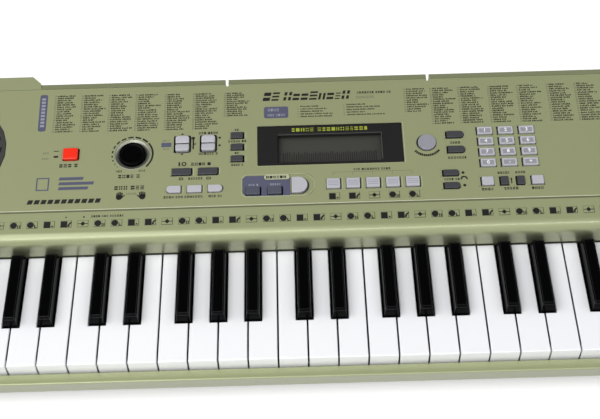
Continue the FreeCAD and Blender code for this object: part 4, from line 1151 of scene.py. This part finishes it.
def printSymbol(across, up, kind):
    # five plain signs that come round again and again over the keys
    width, height, line, grow = (symbols[key] for key in ("width", "height", "line", "grow"))
    ink = "printBlack"
    above = deck["printLift"] * 1.3
    printFrame("printGrey", across, up, width, height, line)
    printBar("printDark", across - width / 2, up - height / 2, width, line, 0, above)
    printBar("printDark", across + width / 2 - line, up - height / 2, line, height, 0, above)
    left = across - width / 2 + 0.3
    if kind in (0, 1):
        printBar(ink, left, up - 2.3 * grow, 4.2 * grow, 4.4 * grow)
        if kind == 0:
            printTriangle(ink, across + 2.3, up - 1.3, 1.2, 1)
        else:
            printBar(ink, left + 4.2 * grow, up - 0.7, 1.6, 2.2, 0.9)
            printBar(ink, left + 4.2 * grow, up - 2.2, 1.5, 1.4, 0.3)
    elif kind == 2:
        printBar(ink, left, up - 0.28, width - 0.6, 0.56)
        reach = 1.7 * grow
        printShape(ink, [(across - reach, up), (across, up - reach), (across + reach, up),
                         (across, up + reach)], deck["printLift"] * 1.6)
    else:
        printDisc(ink, left + 2.2 * grow, up, 2.2 * grow)
        printBar(ink, across + 1.5, up - 2.4, 0.7, 2.5)
        if kind == 3:
            printBar(ink, across + 2.8, up - 2.4, 0.7, 2.5)
        else:
            printBar(ink, across + 2.1, up - 2.4, 1.2, 0.7)


def printSymbols():
    for number in range(symbols["count"]):
        printSymbol(symbols["first"] + number * symbols["pitch"], 0, number % 5)
    for number, (across, up, width, depth, top) in enumerate(drum):
        printSymbol(across + 0.3, up - 10.6, number)


def makeInset():
    # purple-blue field with its rim, the pill above the buttons and small pale marks
    width = inset["right"] - inset["left"]
    depth = inset["high"] - inset["low"]
    across = inset["left"] + width / 2
    up = inset["low"] + depth / 2
    field = outline(across, up, width, depth, [3.0, 0.3, 0.3, 3.0], 0.25)
    holes = [outline(place[0], place[1], place[2], place[3], [0.7] * 4, -0.55) for place in record]
    fieldMesh = holedField(field, holes, inset["floor"] + 0.08)
    linkPiece("record_field", fieldMesh, "case", "printBlue")
    rimWidth = inset["rimEnd"] - inset["left"]
    radii = [3.4, depth / 2, depth / 2, 3.4]
    parts = ([], [])
    loft(parts, [(outline(inset["left"] + rimWidth / 2, up, rimWidth, depth, radii, -grow, 12), lift)
                 for grow, lift in inset["rim"]], closeTop=False)
    addPiece("record_rim", parts, "case", "paleRimAndHighlight", smooth=True)
    rng = random.Random(11)
    printShape("paleRimAndHighlight", outline(-40.6, 35.0, 18.8, 4.2, [1.9] * 4), 0.12)
    printWords("printDark", -48.6, 35.0, 16.0, 2.3, rng, 0.8, 0.2)
    above = inset["floor"] + 0.2
    for place in record:
        printWords("printMist", place[0] - 3.6, place[1] + 5.3, 7.6, 1.7, rng, 0.75, above)


def holedField(outer, holes, lift):
    # a flat field with the buttons' openings left out
    work = bmesh.new()
    edges = []
    for ring in [outer] + holes:
        verts = [work.verts.new(onDeck(x, y, lift)) for x, y in ring]
        edges += [work.edges.new((verts[number - 1], verts[number])) for number in range(len(verts))]
    bmesh.ops.triangle_fill(work, use_beauty=True, use_dissolve=False, edges=edges)
    bmesh.ops.recalc_face_normals(work, faces=work.faces)
    up = deckTurn.to_3x3() @ Vector((0, 0, 1))
    for face in work.faces:
        if face.normal.dot(up) < 0:
            face.normal_flip()
    mesh = bpy.data.meshes.new("field")
    work.to_mesh(mesh)
    work.free()
    return mesh


printLists()
printHeadings()
printSmallLabels()
printSymbols()
makeInset()
print("print laid out")


# Embossed lines on the drum buttons

def embossDrums():
    parts = ([], [])
    for across, up, width, depth, top in drum:
        side, middle, narrow, short = fitted("drum_buttons", 0, across, width, depth)
        for shift in (-1.6, 0.0, 1.6):
            ring = outline(middle, up + shift, narrow - 2.4, 0.6, [0.2] * 4, 0, 2)
            upper = outline(middle, up + shift, narrow - 2.6, 0.4, [0.12] * 4, 0, 2)
            loft(parts, [(ring, top - 0.02), (upper, top + 0.12)])
    addPiece("drum_lines", parts, "drum_buttons", "printMist")


def makeNumerals():
    # white numerals, laid in the hollows of the keypad
    points, faces = [], []
    for label, (across, up, width, depth, top) in zip("1234567890-+", keypad):
        curve = bpy.data.curves.new("numeral", "FONT")
        curve.body = label
        curve.size = 4.0
        curve.align_x = curve.align_y = "CENTER"
        curve.offset = 0.1
        holder = addObject("numeral", curve)
        flat = bpy.data.meshes.new_from_object(holder)
        first = len(points)
        side, middle, narrow, short = fitted("keypad_buttons", 0, across, width, depth)
        points.extend(onDeck(middle + vertex.co.x, up + vertex.co.y, top - button["hollow"] + 0.1)
                      for vertex in flat.vertices)
        faces.extend(tuple(first + index for index in face.vertices) for face in flat.polygons)
        bpy.data.objects.remove(holder)
        bpy.data.curves.remove(curve)
        bpy.data.meshes.remove(flat)
    addPiece("keypad_numerals", (points, faces), "keypad_buttons", "printWhite")


embossDrums()
makeNumerals()


# Groove in front of the panel, with its painted highlight and shadow

groove = {
    "edge": 11.3,
    "shade": 1.4,          # painted shadow: dark band in front of the bead
    "half": 349.5,
    "bead": [(0, 0.02), (0.1, 0.2), (0.28, 0.27), (0.45, 0.2), (0.55, 0.02)],
}


def makeGroove():
    # a fine bead along the panel's front edge, pale as a painted highlight, and the dark band before it as
    # painted shadow
    half = groove["half"]
    low = groove["edge"]
    printBar("grooveShadow", -half, low - groove["shade"], half * 2, groove["shade"])
    low += 0.1
    points = [onDeck(side, low + up, lift) for up, lift in groove["bead"] for side in (-half, half)]
    faces = [(base, base + 1, base + 3, base + 2) for base in range(0, len(points) - 2, 2)]
    addPiece("panel_bead_highlight", (points, faces), "case", "beadHighlight", smooth=True)


makeGroove()


# Display

display = {
    "across": 0.0,
    "up": 62.85,
    "width": 109.2,
    "depth": 34.9,
    "windowUp": 60.05,
    "windowWidth": 77.6,
    "windowDepth": 23.4,
    "glass": -4.95,
    "segments": 44,
    "lip": 0.45,
    "segmentHeights": (8.4, 9.2, 10.0),
    "title": {"left": -28.6, "up": 74.6, "height": 3.1, "count": 16, "gap": 0.95, "slit": 0.8},
    "frame": [(0.95, 0.02), (0.8, 0.24), (0.5, 0.3), (0.32, 0.2), (0.3, 0.0)],   # outset and height
}


def makeDisplay():
    dressNode("display_bezel", "case", "bezelBlack", 0.2)
    paintNode("lcd_module", "displayGlass")
    rng = random.Random(13)
    lift = 0.5 + deck["printLift"]
    # title place over the window
    title = display["title"]
    place = title["left"]
    for number in range(title["count"]):
        size = 2.75 if number % 3 else 2.2
        if number == 5:
            place += 2.2
        rows, columns = marks[number * 3 % len(marks)]
        printMark("printYellow", place, title["up"], size, title["height"], rows, columns, title["slit"],
                  0, lift)
        place += size + title["gap"]
    # painted highlight: a pale lip along the window's top and right side, where its edge catches the light
    across, up, line = display["across"], display["windowUp"], display["lip"]
    width, depth = display["windowWidth"], display["windowDepth"]
    printBar("bezelLipHighlight", across - width / 2 - line, up + depth / 2, width + line * 2, line, 0, lift)
    printBar("bezelLipHighlight", across + width / 2, up - depth / 2, line, depth, 0, lift)
    # faint upright segments on the lower half of the glass
    step = (width - 6.0) / display["segments"]
    for number in range(display["segments"]):
        printBar("segmentInk", 3.0 - width / 2 + number * step, up - depth / 2 + 1.2, step * 0.42,
                 rng.choice(display["segmentHeights"]), 0, display["glass"] + 0.04)
    # thin frame round the bezel; a painted highlight runs down its right side, where it catches the light
    up, width, depth = display["up"], display["width"], display["depth"]
    parts = ([], [])
    loft(parts, [(outline(across, up, width, depth, [0.6] * 4, -grow), height)
                 for grow, height in display["frame"]], closeTop=False)
    addPiece("display_frame", parts, "case", "panelPaint", True)
    printBar("paleRimAndHighlight", across + width / 2 + 0.95, up - depth / 2 - 0.6, 0.4, depth + 1.2)


makeDisplay()

for ink, parts in inks.items():
    addPiece("print_" + ink, parts, "case", ink)
print("display and print made")
